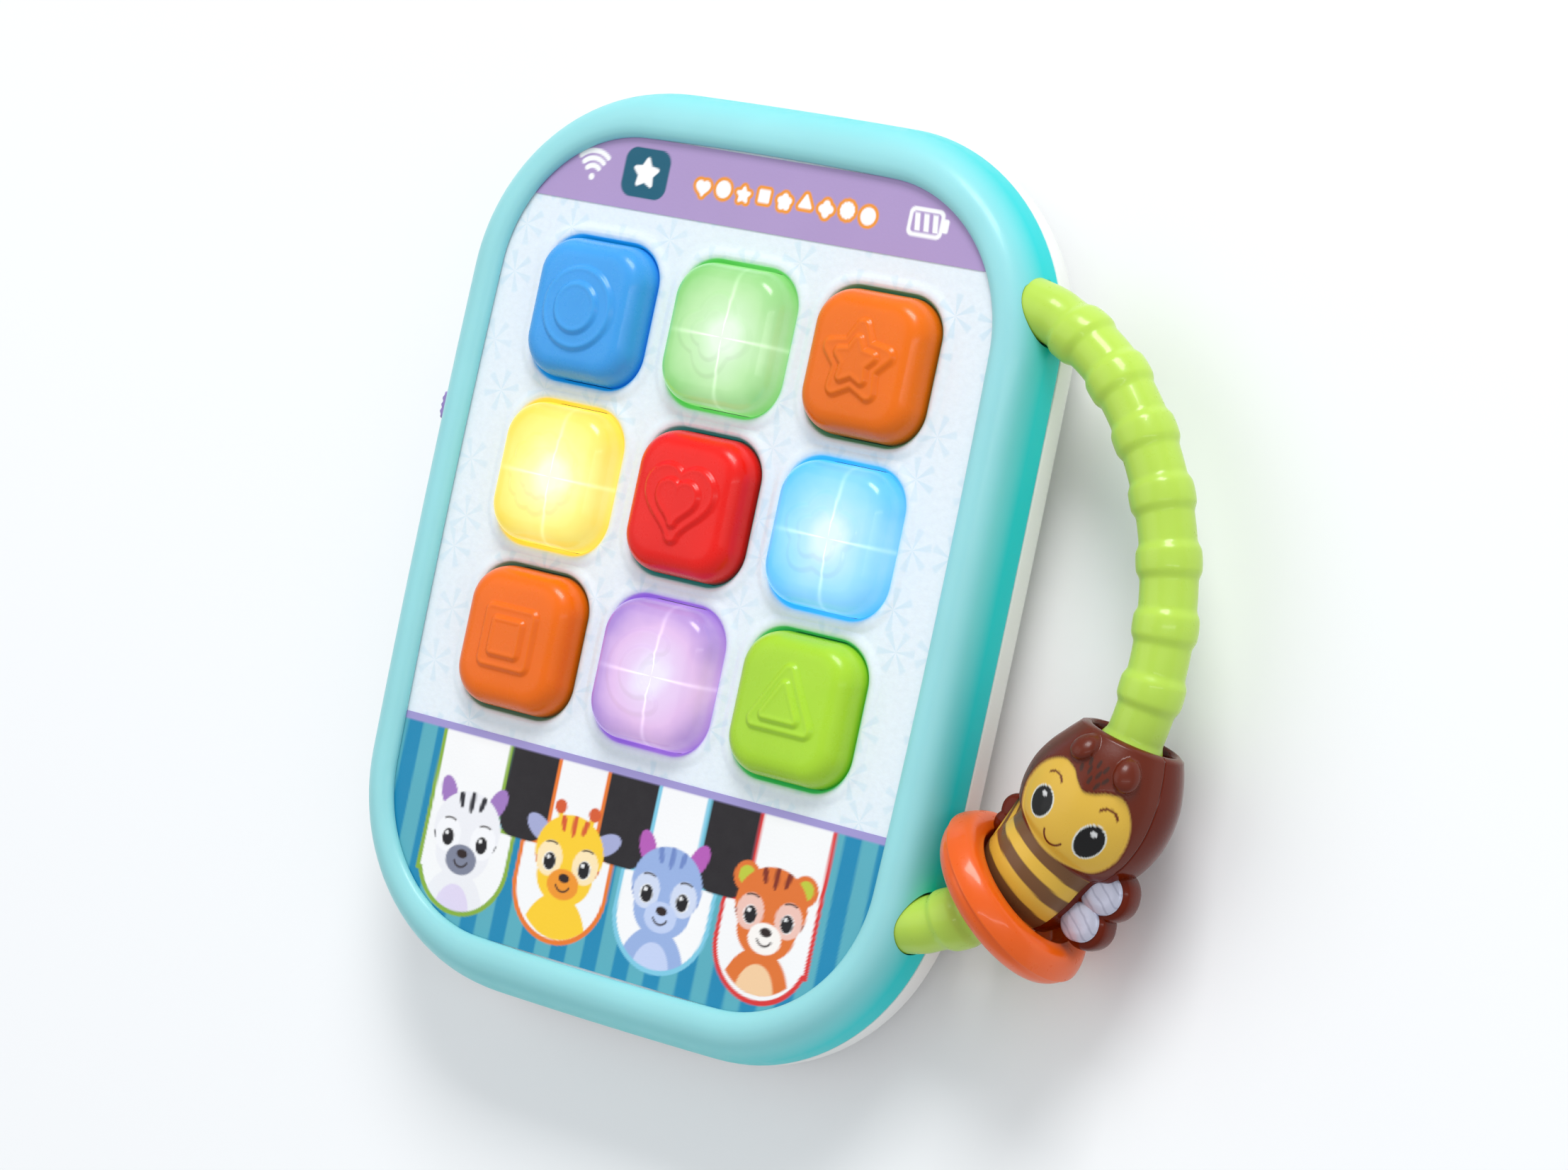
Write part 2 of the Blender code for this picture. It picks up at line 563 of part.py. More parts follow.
def build_battery_door():
    """Door let into the hump, swinging on its tab edge, with its own captive screw."""
    rings = [pad_ring((DOOR_X, HUMP_Y), DOOR_HALF, 3.0 * MM, z) for z in (DOOR_Z, DOOR_Z + DOOR_THICK)]
    hinge = (DOOR_X - DOOR_HALF[0], HUMP_Y, DOOR_Z)
    mesh = loft('battery_door', rings)
    door = add_part('battery_door', mesh, material('cream', CREAM), hinge)
    boolean(door, add_cutter('door_head_hole', rods_mesh(
        'door_head_hole', [(DOOR_SCREW_X, HUMP_Y)], -1 * MM, 1.6 * MM, 2.6 * MM, sides=12)))
    boolean(door, add_cutter('door_shank_hole', rods_mesh(
        'door_shank_hole', [(DOOR_SCREW_X, HUMP_Y)], 0.0, 4 * MM, 1.4 * MM, sides=12)))
    rings = []
    for radius, z in ((2.2, 0.6), (2.2, 1.2), (1.0, 1.3), (1.0, 5.0), (0.4, 5.6)):
        turns = (2 * pi * step / 10 for step in range(10))
        rings.append([Vector((DOOR_SCREW_X + radius * MM * cos(t), HUMP_Y + radius * MM * sin(t), z * MM))
                      for t in turns])
    add_part('door_screw', loft('door_screw', rings), material('steel', STEEL, 0.4, 1.0),
             (DOOR_SCREW_X, HUMP_Y, 0.0))


def build_volume_slider():
    """Three-place slider on the left side: the switch inside and the knob that comes through the slot."""
    wall_x = -76.6 * MM
    switch = add_part('volume_switch', box_mesh(
        'volume_switch', (wall_x + 5.0 * MM, SWITCH_Y - 10 * MM, SWITCH_Z - 2.6 * MM),
        (wall_x + 11.0 * MM, SWITCH_Y + 10 * MM, SWITCH_Z + 2.6 * MM)), material('switch_black', DARK))
    throw = SWITCH_THROW + 2.0 * MM
    groove = box_mesh('switch_groove', (wall_x + 4 * MM, SWITCH_Y - throw, SWITCH_Z - 1.2 * MM),
                      (wall_x + 8 * MM, SWITCH_Y + throw, SWITCH_Z + 1.2 * MM))
    boolean(switch, add_cutter('switch_groove', groove))
    bm = bmesh.new()
    block(bm, (wall_x - 1.7 * MM, SWITCH_Y - 3.4 * MM, SWITCH_Z - 2.2 * MM),
          (wall_x + 0.1 * MM, SWITCH_Y + 3.4 * MM, SWITCH_Z + 2.2 * MM))
    knob = add_part('volume_knob', finish_mesh(bm, 'volume_knob'), material('lilac', (0.42, 0.30, 0.55)))
    stem = box_mesh('knob_stem', (wall_x - 0.5 * MM, SWITCH_Y - 1.6 * MM, SWITCH_Z - 0.9 * MM),
                    (wall_x + 7.2 * MM, SWITCH_Y + 1.6 * MM, SWITCH_Z + 0.9 * MM))
    boolean(knob, add_cutter('knob_stem', stem), 'UNION')


def build_handle():
    """Lime tube with a ridge every few degrees, and a thinner spigot in each socket of the case."""
    rings = [arc_ring(-TUBE_END_ANGLE, SPIGOT_RADIUS), arc_ring(-SOCKET_ANGLE - 0.6, SPIGOT_RADIUS)]
    quarters = round(2 * SOCKET_ANGLE / RIDGE_ANGLE * 4)
    for step in range(quarters + 1):
        angle = -SOCKET_ANGLE + 2 * SOCKET_ANGLE * step / quarters
        swell = sin(step * pi / 4) ** 2
        if min(step, quarters - step) < PLAIN_QUARTERS:
            swell = 0.0
        rings.append(arc_ring(angle, TUBE_VALLEY + (TUBE_RIDGE - TUBE_VALLEY) * swell))
    rings += [arc_ring(SOCKET_ANGLE + 0.6, SPIGOT_RADIUS), arc_ring(TUBE_END_ANGLE, SPIGOT_RADIUS)]
    add_part('handle_tube', loft('handle_tube', rings), material('lime', LIME))


def build_socket_cutter():
    """Return the solid that opens both handle sockets in the two shells."""
    bm = bmesh.new()
    for side in (-1, 1):
        rings = [arc_ring(side * angle, SOCKET_RADIUS, 16) for angle in (56.0, 60.0, 64.0, 68.0, 71.0)]
        rows = [[bm.verts.new(point) for point in ring] for ring in rings]
        for low, high in zip(rows, rows[1:]):
            for index in range(len(low)):
                after = (index + 1) % len(low)
                bm.faces.new((low[index], low[after], high[after], high[index]))
        bm.faces.new(rows[0])
        bm.faces.new(rows[-1])
    return add_cutter('handle_sockets', finish_mesh(bm, 'handle_sockets'))


def build_ring():
    """Orange ring that runs along the tube, with a shallow cup that the bee's foot sits in."""
    centre, outward = arc_frame(RING_ANGLE)
    along = Vector((-outward.y, outward.x, 0.0))
    half = RING_HALF_THICK
    profile = (
        (SLEEVE_BORE, -half), (RING_RADIUS - 4 * MM, -half), (RING_RADIUS - 1 * MM, -half * 0.55),
        (RING_RADIUS, 0.0), (RING_RADIUS - 0.8 * MM, half * 0.6), (RING_RADIUS - 3.2 * MM, half),
        (13.6 * MM, half), (12.9 * MM, -0.8 * MM), (SLEEVE_BORE, -0.8 * MM),
    )
    rings = []
    for radius, shift in profile:
        turns = (2 * pi * step / 28 for step in range(28))
        rings.append([centre + along * shift + outward * radius * cos(t) + Vector((0, 0, radius * sin(t)))
                      for t in turns])
    add_part('slide_ring', loft('slide_ring', rings, closed=True), material('orange', ORANGE), tuple(ARC_CENTRE))


def build_bee():
    """Bee that runs along the tube: yellow front, brown back with the hood, and a wing on each side."""
    body = [
        (BEE_LOW_ANGLE, 11.2, 11.2), (-40.0, 11.9, 12.0), (-34.5, 11.6, 12.2), (-31.5, 12.8, 12.6),
        (-28.0, 15.4, 13.8), (-23.0, 16.0, 14.8), (-18.0, 15.4, 14.6), (-15.5, 14.0, 13.4),
    ]
    front = [(angle, across * MM, up * MM) for angle, across, up in body]
    hood = front + [(BEE_TOP_ANGLE, 12.8 * MM, 12.4 * MM)]
    add_part('bee_front', arc_shell('bee_front', front, SLEEVE_BORE, 22, 158, 12),
             material('yellow', YELLOW), tuple(ARC_CENTRE))
    add_part('bee_back', arc_shell('bee_back', hood, SLEEVE_BORE, 160.5, 379.5, 16),
             material('brown', BROWN), tuple(ARC_CENTRE))
    for side, name, shift, size, reach in ((1, 'outer', 0.0, 1.0, 16.9), (-1, 'inner', 3.0, 0.84, 18.2)):
        build_wing(name, side, shift * MM, size, reach)


def build_wing(name, side, shift, size, reach):
    """One wing moulding: a root against the bee's back and two round lobes, flat under the arms."""
    centre, outward = arc_frame(WING_ANGLE)
    along = Vector((-outward.y, outward.x, 0.0))
    root = centre + outward * side * WING_ROOT + along * shift
    low_z = root.z - 4.0 * MM
    high_z = root.z - 0.6 * MM
    plate = rods_mesh(f'wing_{name}', [root], low_z, high_z, 2.6 * MM, sides=12)
    wing = add_part(f'wing_{name}', plate, material('brown', BROWN), tuple(ARC_CENTRE))
    for place, out, radius in ((4.4, reach + 1.4, 5.2), (-2.6, reach, 4.6)):
        spot = centre + outward * side * out * MM + along * (place * size * MM + shift)
        lobe = rods_mesh(f'lobe_{name}_{radius}', [spot], low_z + 0.2 * MM, high_z - 0.2 * MM,
                         radius * size * MM, sides=14)
        boolean(wing, add_cutter(lobe.name, lobe), 'UNION')


def main():
    """Build every sub-part."""
    socket_cutter = build_socket_cutter()
    build_front_shell(socket_cutter)
    build_back_shell(socket_cutter)
    build_foot_pads()
    build_face_panel()
    build_labels()
    build_buttons()
    build_board_stack()
    build_speaker()
    build_batteries()
    build_fasteners()
    build_battery_door()
    build_volume_slider()
    build_handle()
    build_ring()
    build_bee()


clear_scene()
PARTS = make_collection('toy_tablet')
CUTTERS = make_collection('toy_tablet_cutters')
main()
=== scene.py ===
"""Looks of a kids toy tablet: nine light-up buttons, a piano strip, and a handle with a ring and a bee.

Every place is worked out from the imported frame. Metres throughout; the face looks up (+Z), the header
is at +Y and the handle at +X. Lengths in the classes are in metres and angles in degrees.
"""
import json
import logging
from dataclasses import dataclass, field
from enum import Enum
from typing import Callable, Sequence

import bmesh
import bpy
import numpy as np
from mathutils import Matrix, Vector


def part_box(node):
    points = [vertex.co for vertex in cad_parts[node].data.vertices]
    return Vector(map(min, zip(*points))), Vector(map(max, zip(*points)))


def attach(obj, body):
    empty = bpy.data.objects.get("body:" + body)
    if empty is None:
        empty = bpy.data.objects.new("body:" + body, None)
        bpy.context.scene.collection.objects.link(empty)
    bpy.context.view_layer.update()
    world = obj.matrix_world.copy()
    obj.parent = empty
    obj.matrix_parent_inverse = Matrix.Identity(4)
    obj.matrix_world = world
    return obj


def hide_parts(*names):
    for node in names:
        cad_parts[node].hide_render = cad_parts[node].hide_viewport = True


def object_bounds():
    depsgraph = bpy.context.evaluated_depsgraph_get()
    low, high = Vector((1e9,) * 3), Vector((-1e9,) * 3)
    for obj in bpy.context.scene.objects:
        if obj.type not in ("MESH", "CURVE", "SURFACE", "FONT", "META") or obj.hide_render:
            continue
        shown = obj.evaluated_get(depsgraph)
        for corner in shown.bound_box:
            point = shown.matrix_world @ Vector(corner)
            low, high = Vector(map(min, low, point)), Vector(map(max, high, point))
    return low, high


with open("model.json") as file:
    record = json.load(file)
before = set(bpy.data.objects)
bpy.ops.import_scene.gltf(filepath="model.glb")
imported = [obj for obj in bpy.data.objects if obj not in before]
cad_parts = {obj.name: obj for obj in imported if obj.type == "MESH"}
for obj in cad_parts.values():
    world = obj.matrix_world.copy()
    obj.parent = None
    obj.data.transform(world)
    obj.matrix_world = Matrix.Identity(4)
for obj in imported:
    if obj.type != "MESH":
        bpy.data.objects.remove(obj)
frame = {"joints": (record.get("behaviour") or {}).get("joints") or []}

Array = np.ndarray
Colour = tuple[float, float, float]
LOG = logging.getLogger("toy_tablet")
MM = 0.001
CAD_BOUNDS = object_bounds()


# ---------------------------------------------------------------- curves and surfaces


def smooth_path(points: Sequence[tuple[float, float]], per_span: int, closed: bool = False) -> Array:
    """Run a smooth curve through a few points.

    Each span is a Catmull-Rom cubic: its tangent at a point is half the step between the neighbours.

    Args:
        points: The points that the curve passes, in order.
        per_span: How many samples each span gets.
        closed: Whether the curve runs back to its first point.

    Returns:
        The samples, one row each.
    """
    knots = np.asarray(points, float)
    if closed:
        padded = np.vstack([knots[-1:], knots, knots[:2]])
    else:
        padded = np.vstack([2 * knots[:1] - knots[1:2], knots, 2 * knots[-1:] - knots[-2:-1]])
    before, start, end, after = padded[:-3], padded[1:-2], padded[2:-1], padded[3:]
    t = (np.arange(per_span) / per_span)[None, :, None]
    before, start, end, after = (part[:, None, :] for part in (before, start, end, after))
    curve = 0.5 * (2 * start + (end - before) * t + (2 * before - 5 * start + 4 * end - after) * t**2
                   + (3 * start - before - 3 * end + after) * t**3)
    curve = curve.reshape(-1, knots.shape[1])
    return curve if closed else np.vstack([curve, knots[-1:]])


def smooth_step(low: float, high: float, value: Array) -> Array:
    """Rise from 0 at low to 1 at high with flat ends: 3t squared less 2t cubed."""
    t = np.clip((value - low) / (high - low), 0.0, 1.0)
    return t * t * (3 - 2 * t)


def rounded_ring(half_x: Array, half_y: Array, corner: Array, bulge: Array | float = 0.0,
                 corner_points: int = 24, side_points: int = 12, squareness: Array | float = 0.0) -> Array:
    """Walk round a rectangle with round corners and slightly bowed sides.

    Corners are quarter circles about the inset corner points, pushed out towards a square corner by
    the squareness. A side is then pulled in by the bulge times the square of the share of the way to
    its end, fading out across the other side.

    Args:
        half_x: Half widths, one for each ring.
        half_y: Half heights.
        corner: Corner radii.
        bulge: How far the middle of a side stands out past its ends.
        corner_points: Points on each corner.
        side_points: Points along each side between two corners.
        squareness: 0 for round corners, 1 for square ones.

    Returns:
        An array (rings, points, 2), anticlockwise from the right-hand side.
    """
    half_x, half_y, corner, bulge, squareness = (np.atleast_1d(np.asarray(v, float))[:, None]
                                                 for v in (half_x, half_y, corner, bulge, squareness))
    share = np.arange(corner_points) / (corner_points - 1)
    corners = []
    for quarter, (side_x, side_y) in enumerate(((1, 1), (-1, 1), (-1, -1), (1, -1))):
        turn = (quarter + share)[None, :] * np.pi / 2
        push = 1 + (1 / np.maximum(np.abs(np.cos(turn)), np.abs(np.sin(turn))) - 1) * squareness
        corners.append(np.stack([(half_x - corner) * side_x + corner * push * np.cos(turn),
                                 (half_y - corner) * side_y + corner * push * np.sin(turn)], axis=-1))
    spread = (np.arange(1, side_points + 1) / (side_points + 1))[None, :, None]
    runs = []
    for index, points in enumerate(corners):
        after = corners[(index + 1) % 4][:, :1]
        runs += [points, points[:, -1:] + (after - points[:, -1:]) * spread]
    ring = np.concatenate(runs, axis=1)
    x, y = ring[..., 0], ring[..., 1]
    share_x, share_y = x / half_x, y / half_y
    ring_x = x - bulge * share_y**2 * np.abs(share_x) ** 4 * np.sign(x)
    ring_y = y - bulge * share_x**2 * np.abs(share_y) ** 4 * np.sign(y)
    return np.stack([ring_x, ring_y], axis=-1)


def placed(name: str, data: bpy.types.ID) -> bpy.types.Object:
    """Put a mesh, lamp or camera in the scene as an object at the origin."""
    piece = bpy.data.objects.new(name, data)
    bpy.context.scene.collection.objects.link(piece)
    return piece


def middle_of(node: str) -> tuple[float, float]:
    """Return the middle of a solid's box, seen from above."""
    low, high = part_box(node)
    return (low.x + high.x) / 2, (low.y + high.y) / 2


def in_fours(low: Array, high: Array) -> Array:
    """Join two sets of rows of point numbers in fours, each with the next column; columns wrap."""
    return np.stack([low, np.roll(low, -1, axis=1), np.roll(high, -1, axis=1), high], axis=-1).reshape(-1, 4)


def lift(rings: Array, heights: Array) -> Array:
    """Give flat rings (rows, points, 2) a height each, or one for every point."""
    heights = np.asarray(heights, float)
    if heights.ndim == 1:
        heights = np.repeat(heights[:, None], rings.shape[1], axis=1)
    return np.concatenate([rings, heights[..., None]], axis=-1)


def surface(name: str, grid: Array, wrap_rows: bool = False, ends: bool = True,
            ink: Array | None = None) -> bpy.types.Object:
    """Turn a grid of points into a closed, smooth-shaded piece.

    Neighbouring points are joined in fours. Columns always wrap. The rows wrap as well, or each end
    row is closed by a fan about its mean point. The faces are turned outwards by the sign of the volume.

    Args:
        name: The piece's name.
        grid: Points (rows, columns, 3).
        wrap_rows: Whether the last row joins the first.
        ends: Whether open ends are closed.
        ink: A colour (rows, columns, 3) for each point, kept in the attribute "ink".

    Returns:
        The new object, at the origin.
    """
    rows, columns = grid.shape[:2]
    index = np.arange(rows * columns).reshape(rows, columns)
    low = index if wrap_rows else index[:-1]
    high = np.roll(index, -1, axis=0) if wrap_rows else index[1:]
    quads = in_fours(low, high)
    points = grid.reshape(-1, 3)
    faces = quads.tolist()
    colours = None if ink is None else ink.reshape(-1, 3)
    if ends and not wrap_rows:
        for row, turn in ((0, 1), (rows - 1, -1)):
            centre = len(points)
            points = np.vstack([points, grid[row].mean(axis=0)])
            if colours is not None:
                colours = np.vstack([colours, ink[row].mean(axis=0)])
            ring = index[row][::turn]
            faces += np.stack([np.roll(ring, -1), ring, np.full(columns, centre)], axis=-1).tolist()
    corners = points[quads] - points.mean(axis=0)
    volume = np.einsum("ij,ij->i", np.cross(corners[:, 0], corners[:, 1]), corners[:, 2]).sum()
    if volume < 0:
        faces = [face[::-1] for face in faces]
    mesh = bpy.data.meshes.new(name)
    mesh.from_pydata(points.tolist(), [], faces)
    if colours is not None:
        paint_points(mesh, colours)
    mesh.shade_smooth()
    mesh.update()
    return placed(name, mesh)


def paint_points(mesh: bpy.types.Mesh, colours: Array) -> None:
    """Keep one colour for each point, with or without an alpha, in the mesh attribute "ink"."""
    attribute = mesh.color_attributes.new("ink", 'FLOAT_COLOR', 'POINT')
    rgba = colours if colours.shape[1] == 4 else np.concatenate([colours, np.ones((len(colours), 1))], axis=1)
    attribute.data.foreach_set("color", rgba.astype(np.float32).ravel())


def sharpen(piece: bpy.types.Object, degrees: float = 40.0) -> None:
    """Shade a piece smooth apart from edges that turn by more than an angle."""
    piece.data.shade_smooth()
    piece.data.set_sharp_from_angle(angle=np.radians(degrees))


def carve(piece: bpy.types.Object, tool: bpy.types.Object, operation: str = 'DIFFERENCE') -> None:
    """Cut a piece with a closed tool, or join the tool to it, and throw the tool away.

    Args:
        piece: The piece that changes.
        tool: A closed solid.
        operation: DIFFERENCE or UNION.
    """
    modifier = piece.modifiers.new("carve", 'BOOLEAN')
    modifier.object = tool
    modifier.operation = operation
    modifier.solver = 'EXACT'
    result = bpy.data.meshes.new_from_object(piece.evaluated_get(bpy.context.evaluated_depsgraph_get()))
    piece.modifiers.remove(modifier)
    old = piece.data
    piece.data = result
    bpy.data.meshes.remove(old)
    bpy.data.objects.remove(tool)


def upright_rod(name: str, place: tuple[float, float], heights: Sequence[float], radii: Sequence[float],
                points: int = 32) -> bpy.types.Object:
    """Turn radii at heights about an upright line at a place into a closed solid."""
    turn = 2 * np.pi * np.arange(points) / points
    radii = np.asarray(radii, float)[:, None]
    rings = np.stack([place[0] + radii * np.cos(turn), place[1] + radii * np.sin(turn)], axis=-1)
    return surface(name, lift(rings, np.asarray(heights, float)))


def repeat(piece: bpy.types.Object, offsets: Sequence[tuple[float, float, float]]) -> bpy.types.Object:
    """Swap a piece's mesh for copies of it, one moved by each offset."""
    mesh = piece.data
    points = np.zeros(len(mesh.vertices) * 3)
    mesh.vertices.foreach_get("co", points)
    points = points.reshape(-1, 3)
    faces = [list(face.vertices) for face in mesh.polygons]
    moved = (np.asarray(offsets, float)[:, None] + points[None]).reshape(-1, 3)
    copies = [[corner + copy * len(points) for corner in face]
              for copy in range(len(offsets)) for face in faces]
    mesh.clear_geometry()
    mesh.from_pydata(moved.tolist(), [], copies)
    mesh.update()
    return piece


def joined_sheet(name: str, grids: Sequence[Array]) -> bpy.types.Object:
    """Join open rings of points into one sheet; rows are open, columns wrap, and shared edges merge."""
    points, faces, start = [], [], 0
    for grid in grids:
        rows, columns = grid.shape[:2]
        index = start + np.arange(rows * columns).reshape(rows, columns)
        faces.append(in_fours(index[:-1], index[1:]))
        points.append(grid.reshape(-1, 3))
        start += rows * columns
    mesh = bpy.data.meshes.new(name)
    mesh.from_pydata(np.vstack(points).tolist(), [], np.vstack(faces)[:, ::-1].tolist())
    sheet = bmesh.new()
    sheet.from_mesh(mesh)
    bmesh.ops.remove_doubles(sheet, verts=sheet.verts, dist=0.002 * MM)
    sheet.to_mesh(mesh)
    sheet.free()
    mesh.shade_smooth()
    return placed(name, mesh)


def thicken(piece: bpy.types.Object, thickness: float) -> None:
    """Give an open sheet a wall below it."""
    modifier = piece.modifiers.new("wall", 'SOLIDIFY')
    modifier.thickness = thickness
    modifier.offset = -1.0
    result = bpy.data.meshes.new_from_object(piece.evaluated_get(bpy.context.evaluated_depsgraph_get()))
    piece.modifiers.remove(modifier)
    piece.data = result


def tone(red: int, green: int, blue: int) -> Colour:
    """Turn a display colour from 0 to 255 into the linear colour that shaders take."""
    parts = np.array([red, green, blue]) / 255
    linear = np.where(parts <= 0.04045, parts / 12.92, ((parts + 0.055) / 1.055) ** 2.4)
    return tuple(float(part) for part in linear)


# ---------------------------------------------------------------- flat shapes and printing


def outline_distance(points: Array, corners: Array) -> Array:
    """Return each point's distance to a closed outline, negative inside.

    The distance is to the nearest edge. A point is inside when a ray towards +X crosses the outline
    an odd number of times.

    Args:
        points: Points with the two coordinates last.
        corners: The outline's corners, one row each.
    """
    flat = points.reshape(-1, 1, 2)
    start, end = corners[None], np.roll(corners, -1, axis=0)[None]
    edge, toward = end - start, flat - start
    share = np.clip((toward * edge).sum(-1) / np.maximum((edge**2).sum(-1), 1e-18), 0, 1)
    gap = np.linalg.norm(toward - edge * share[..., None], axis=-1).min(axis=1)
    spans = (start[..., 1] > flat[..., 1]) != (end[..., 1] > flat[..., 1])
    rise = np.where(np.abs(edge[..., 1]) < 1e-12, 1e-12, edge[..., 1])
    cross = start[..., 0] + (flat[..., 1] - start[..., 1]) * edge[..., 0] / rise
    inside = (spans & (flat[..., 0] < cross)).sum(axis=1) % 2 == 1
    return np.where(inside, -gap, gap).reshape(points.shape[:-1])


class Emblem(Enum):
    """The raised picture on a button cap."""

    CIRCLE = "circle"
    CLOVER = "clover"
    STAR = "star"
    SUN = "sun"
    HEART = "heart"
    FLOWER = "flower"
    SQUARE = "square"
    MOON = "moon"
    TRIANGLE = "triangle"

    def outline(self) -> Array:
        """Return the emblem's outline, about 1 in radius.

        Wavy emblems have a radius that swings with the turn; star, square and triangle join points on
        circles; the heart is the usual sum of cosines; the moon is two arcs between the same tips.
        """
        turn = 2 * np.pi * np.arange(96) / 96
        circle = np.stack([np.cos(turn), np.sin(turn)], axis=-1)
        waves = {Emblem.CIRCLE: (0.0, 1), Emblem.CLOVER: (0.17, 4), Emblem.SUN: (0.07, 12),
                 Emblem.FLOWER: (0.14, 5)}
        if self in waves:
            depth, count = waves[self]
            return circle * (1 - depth + depth * np.cos(count * (turn - np.pi / 2)))[:, None]
        if self is Emblem.HEART:
            x = 16 * np.sin(turn) ** 3
            y = 13 * np.cos(turn) - 5 * np.cos(2 * turn) - 2 * np.cos(3 * turn) - np.cos(4 * turn)
            return np.stack([x, y + 2.0], axis=-1)[::-1] / 16.0
        if self is Emblem.MOON:
            outer = np.radians(np.linspace(60, 300, 60))
            inner = np.radians(np.linspace(262, 98, 40))
            back = np.stack([np.cos(outer), np.sin(outer)], axis=-1)
            front = np.stack([0.62 + 0.88 * np.cos(inner), 0.875 * np.sin(inner)], axis=-1)
            return np.vstack([back, front])
        points, dent = {Emblem.STAR: (5, 0.52), Emblem.SQUARE: (4, None), Emblem.TRIANGLE: (3, None)}[self]
        steps = np.arange(points * (2 if dent else 1))
        radius = np.where(steps % 2 == 1, dent, 1.0) if dent else np.ones(len(steps))
        first = np.pi / 4 if self is Emblem.SQUARE else np.pi / 2
        spin = first + 2 * np.pi * steps / len(steps)
        return np.stack([np.cos(spin), np.sin(spin)], axis=-1) * radius[:, None]


class Print:
    """A picture on a sheet of points: shapes are laid one over another in ink."""

    def __init__(self, x: Array, y: Array, paper: Colour, soft: float = 0.12 * MM) -> None:
        """Start with plain paper at the given places."""
        self.x, self.y, self.soft = x, y, soft
        self.colours = np.empty(x.shape + (3,))
        self.colours[:] = paper

    def lay(self, distance: Array, ink: Colour | Array) -> None:
        """Lay ink where the distance is negative, with a soft edge."""
        share = 1 - smooth_step(-self.soft, self.soft, distance)
        self.colours += (np.asarray(ink) - self.colours) * share[..., None]

    def oval(self, x: float, y: float, half_x: float, half_y: float | None = None,
             spin: float = 0.0) -> Array:
        """Return the distance to an ellipse turned by an angle in degrees."""
        half_y = half_x if half_y is None else half_y
        c, s = np.cos(np.radians(spin)), np.sin(np.radians(spin))
        u, v = (self.x - x) * c + (self.y - y) * s, (self.y - y) * c - (self.x - x) * s
        length = np.hypot(u / half_x, v / half_y)
        slope = np.hypot(u / half_x**2, v / half_y**2) / np.maximum(length, 1e-9)
        return (length - 1) / np.maximum(slope, 1e-9)

    def box(self, low_x: float, low_y: float, high_x: float, high_y: float, corner: float = 0.0) -> Array:
        """Return the distance to a box with round corners."""
        u = np.abs(self.x - (low_x + high_x) / 2) - (high_x - low_x) / 2 + corner
        v = np.abs(self.y - (low_y + high_y) / 2) - (high_y - low_y) / 2 + corner
        return np.hypot(np.maximum(u, 0), np.maximum(v, 0)) + np.minimum(np.maximum(u, v), 0) - corner

    def shape(self, corners: Array, grow: float = 0.0) -> Array:
        """Return the distance to a closed outline, grown by a margin."""
        return outline_distance(np.stack([self.x, self.y], axis=-1), np.asarray(corners, float)) - grow

    def stroke(self, points: Array, width: float) -> Array:
        """Return the distance to a line of a width through points."""
        line = np.asarray(points, float)
        there_and_back = np.vstack([line, line[-2:0:-1]])
        return np.abs(self.shape(there_and_back)) - width / 2

    def arc(self, x: float, y: float, radius: float, start: float, end: float, width: float) -> Array:
        """Return the distance to part of a circle, from a start angle to an end angle in degrees."""
        turn = np.radians(np.linspace(start, end, 14))
        return self.stroke(np.stack([x + radius * np.cos(turn), y + radius * np.sin(turn)], axis=-1), width)


# ---------------------------------------------------------------- finishes


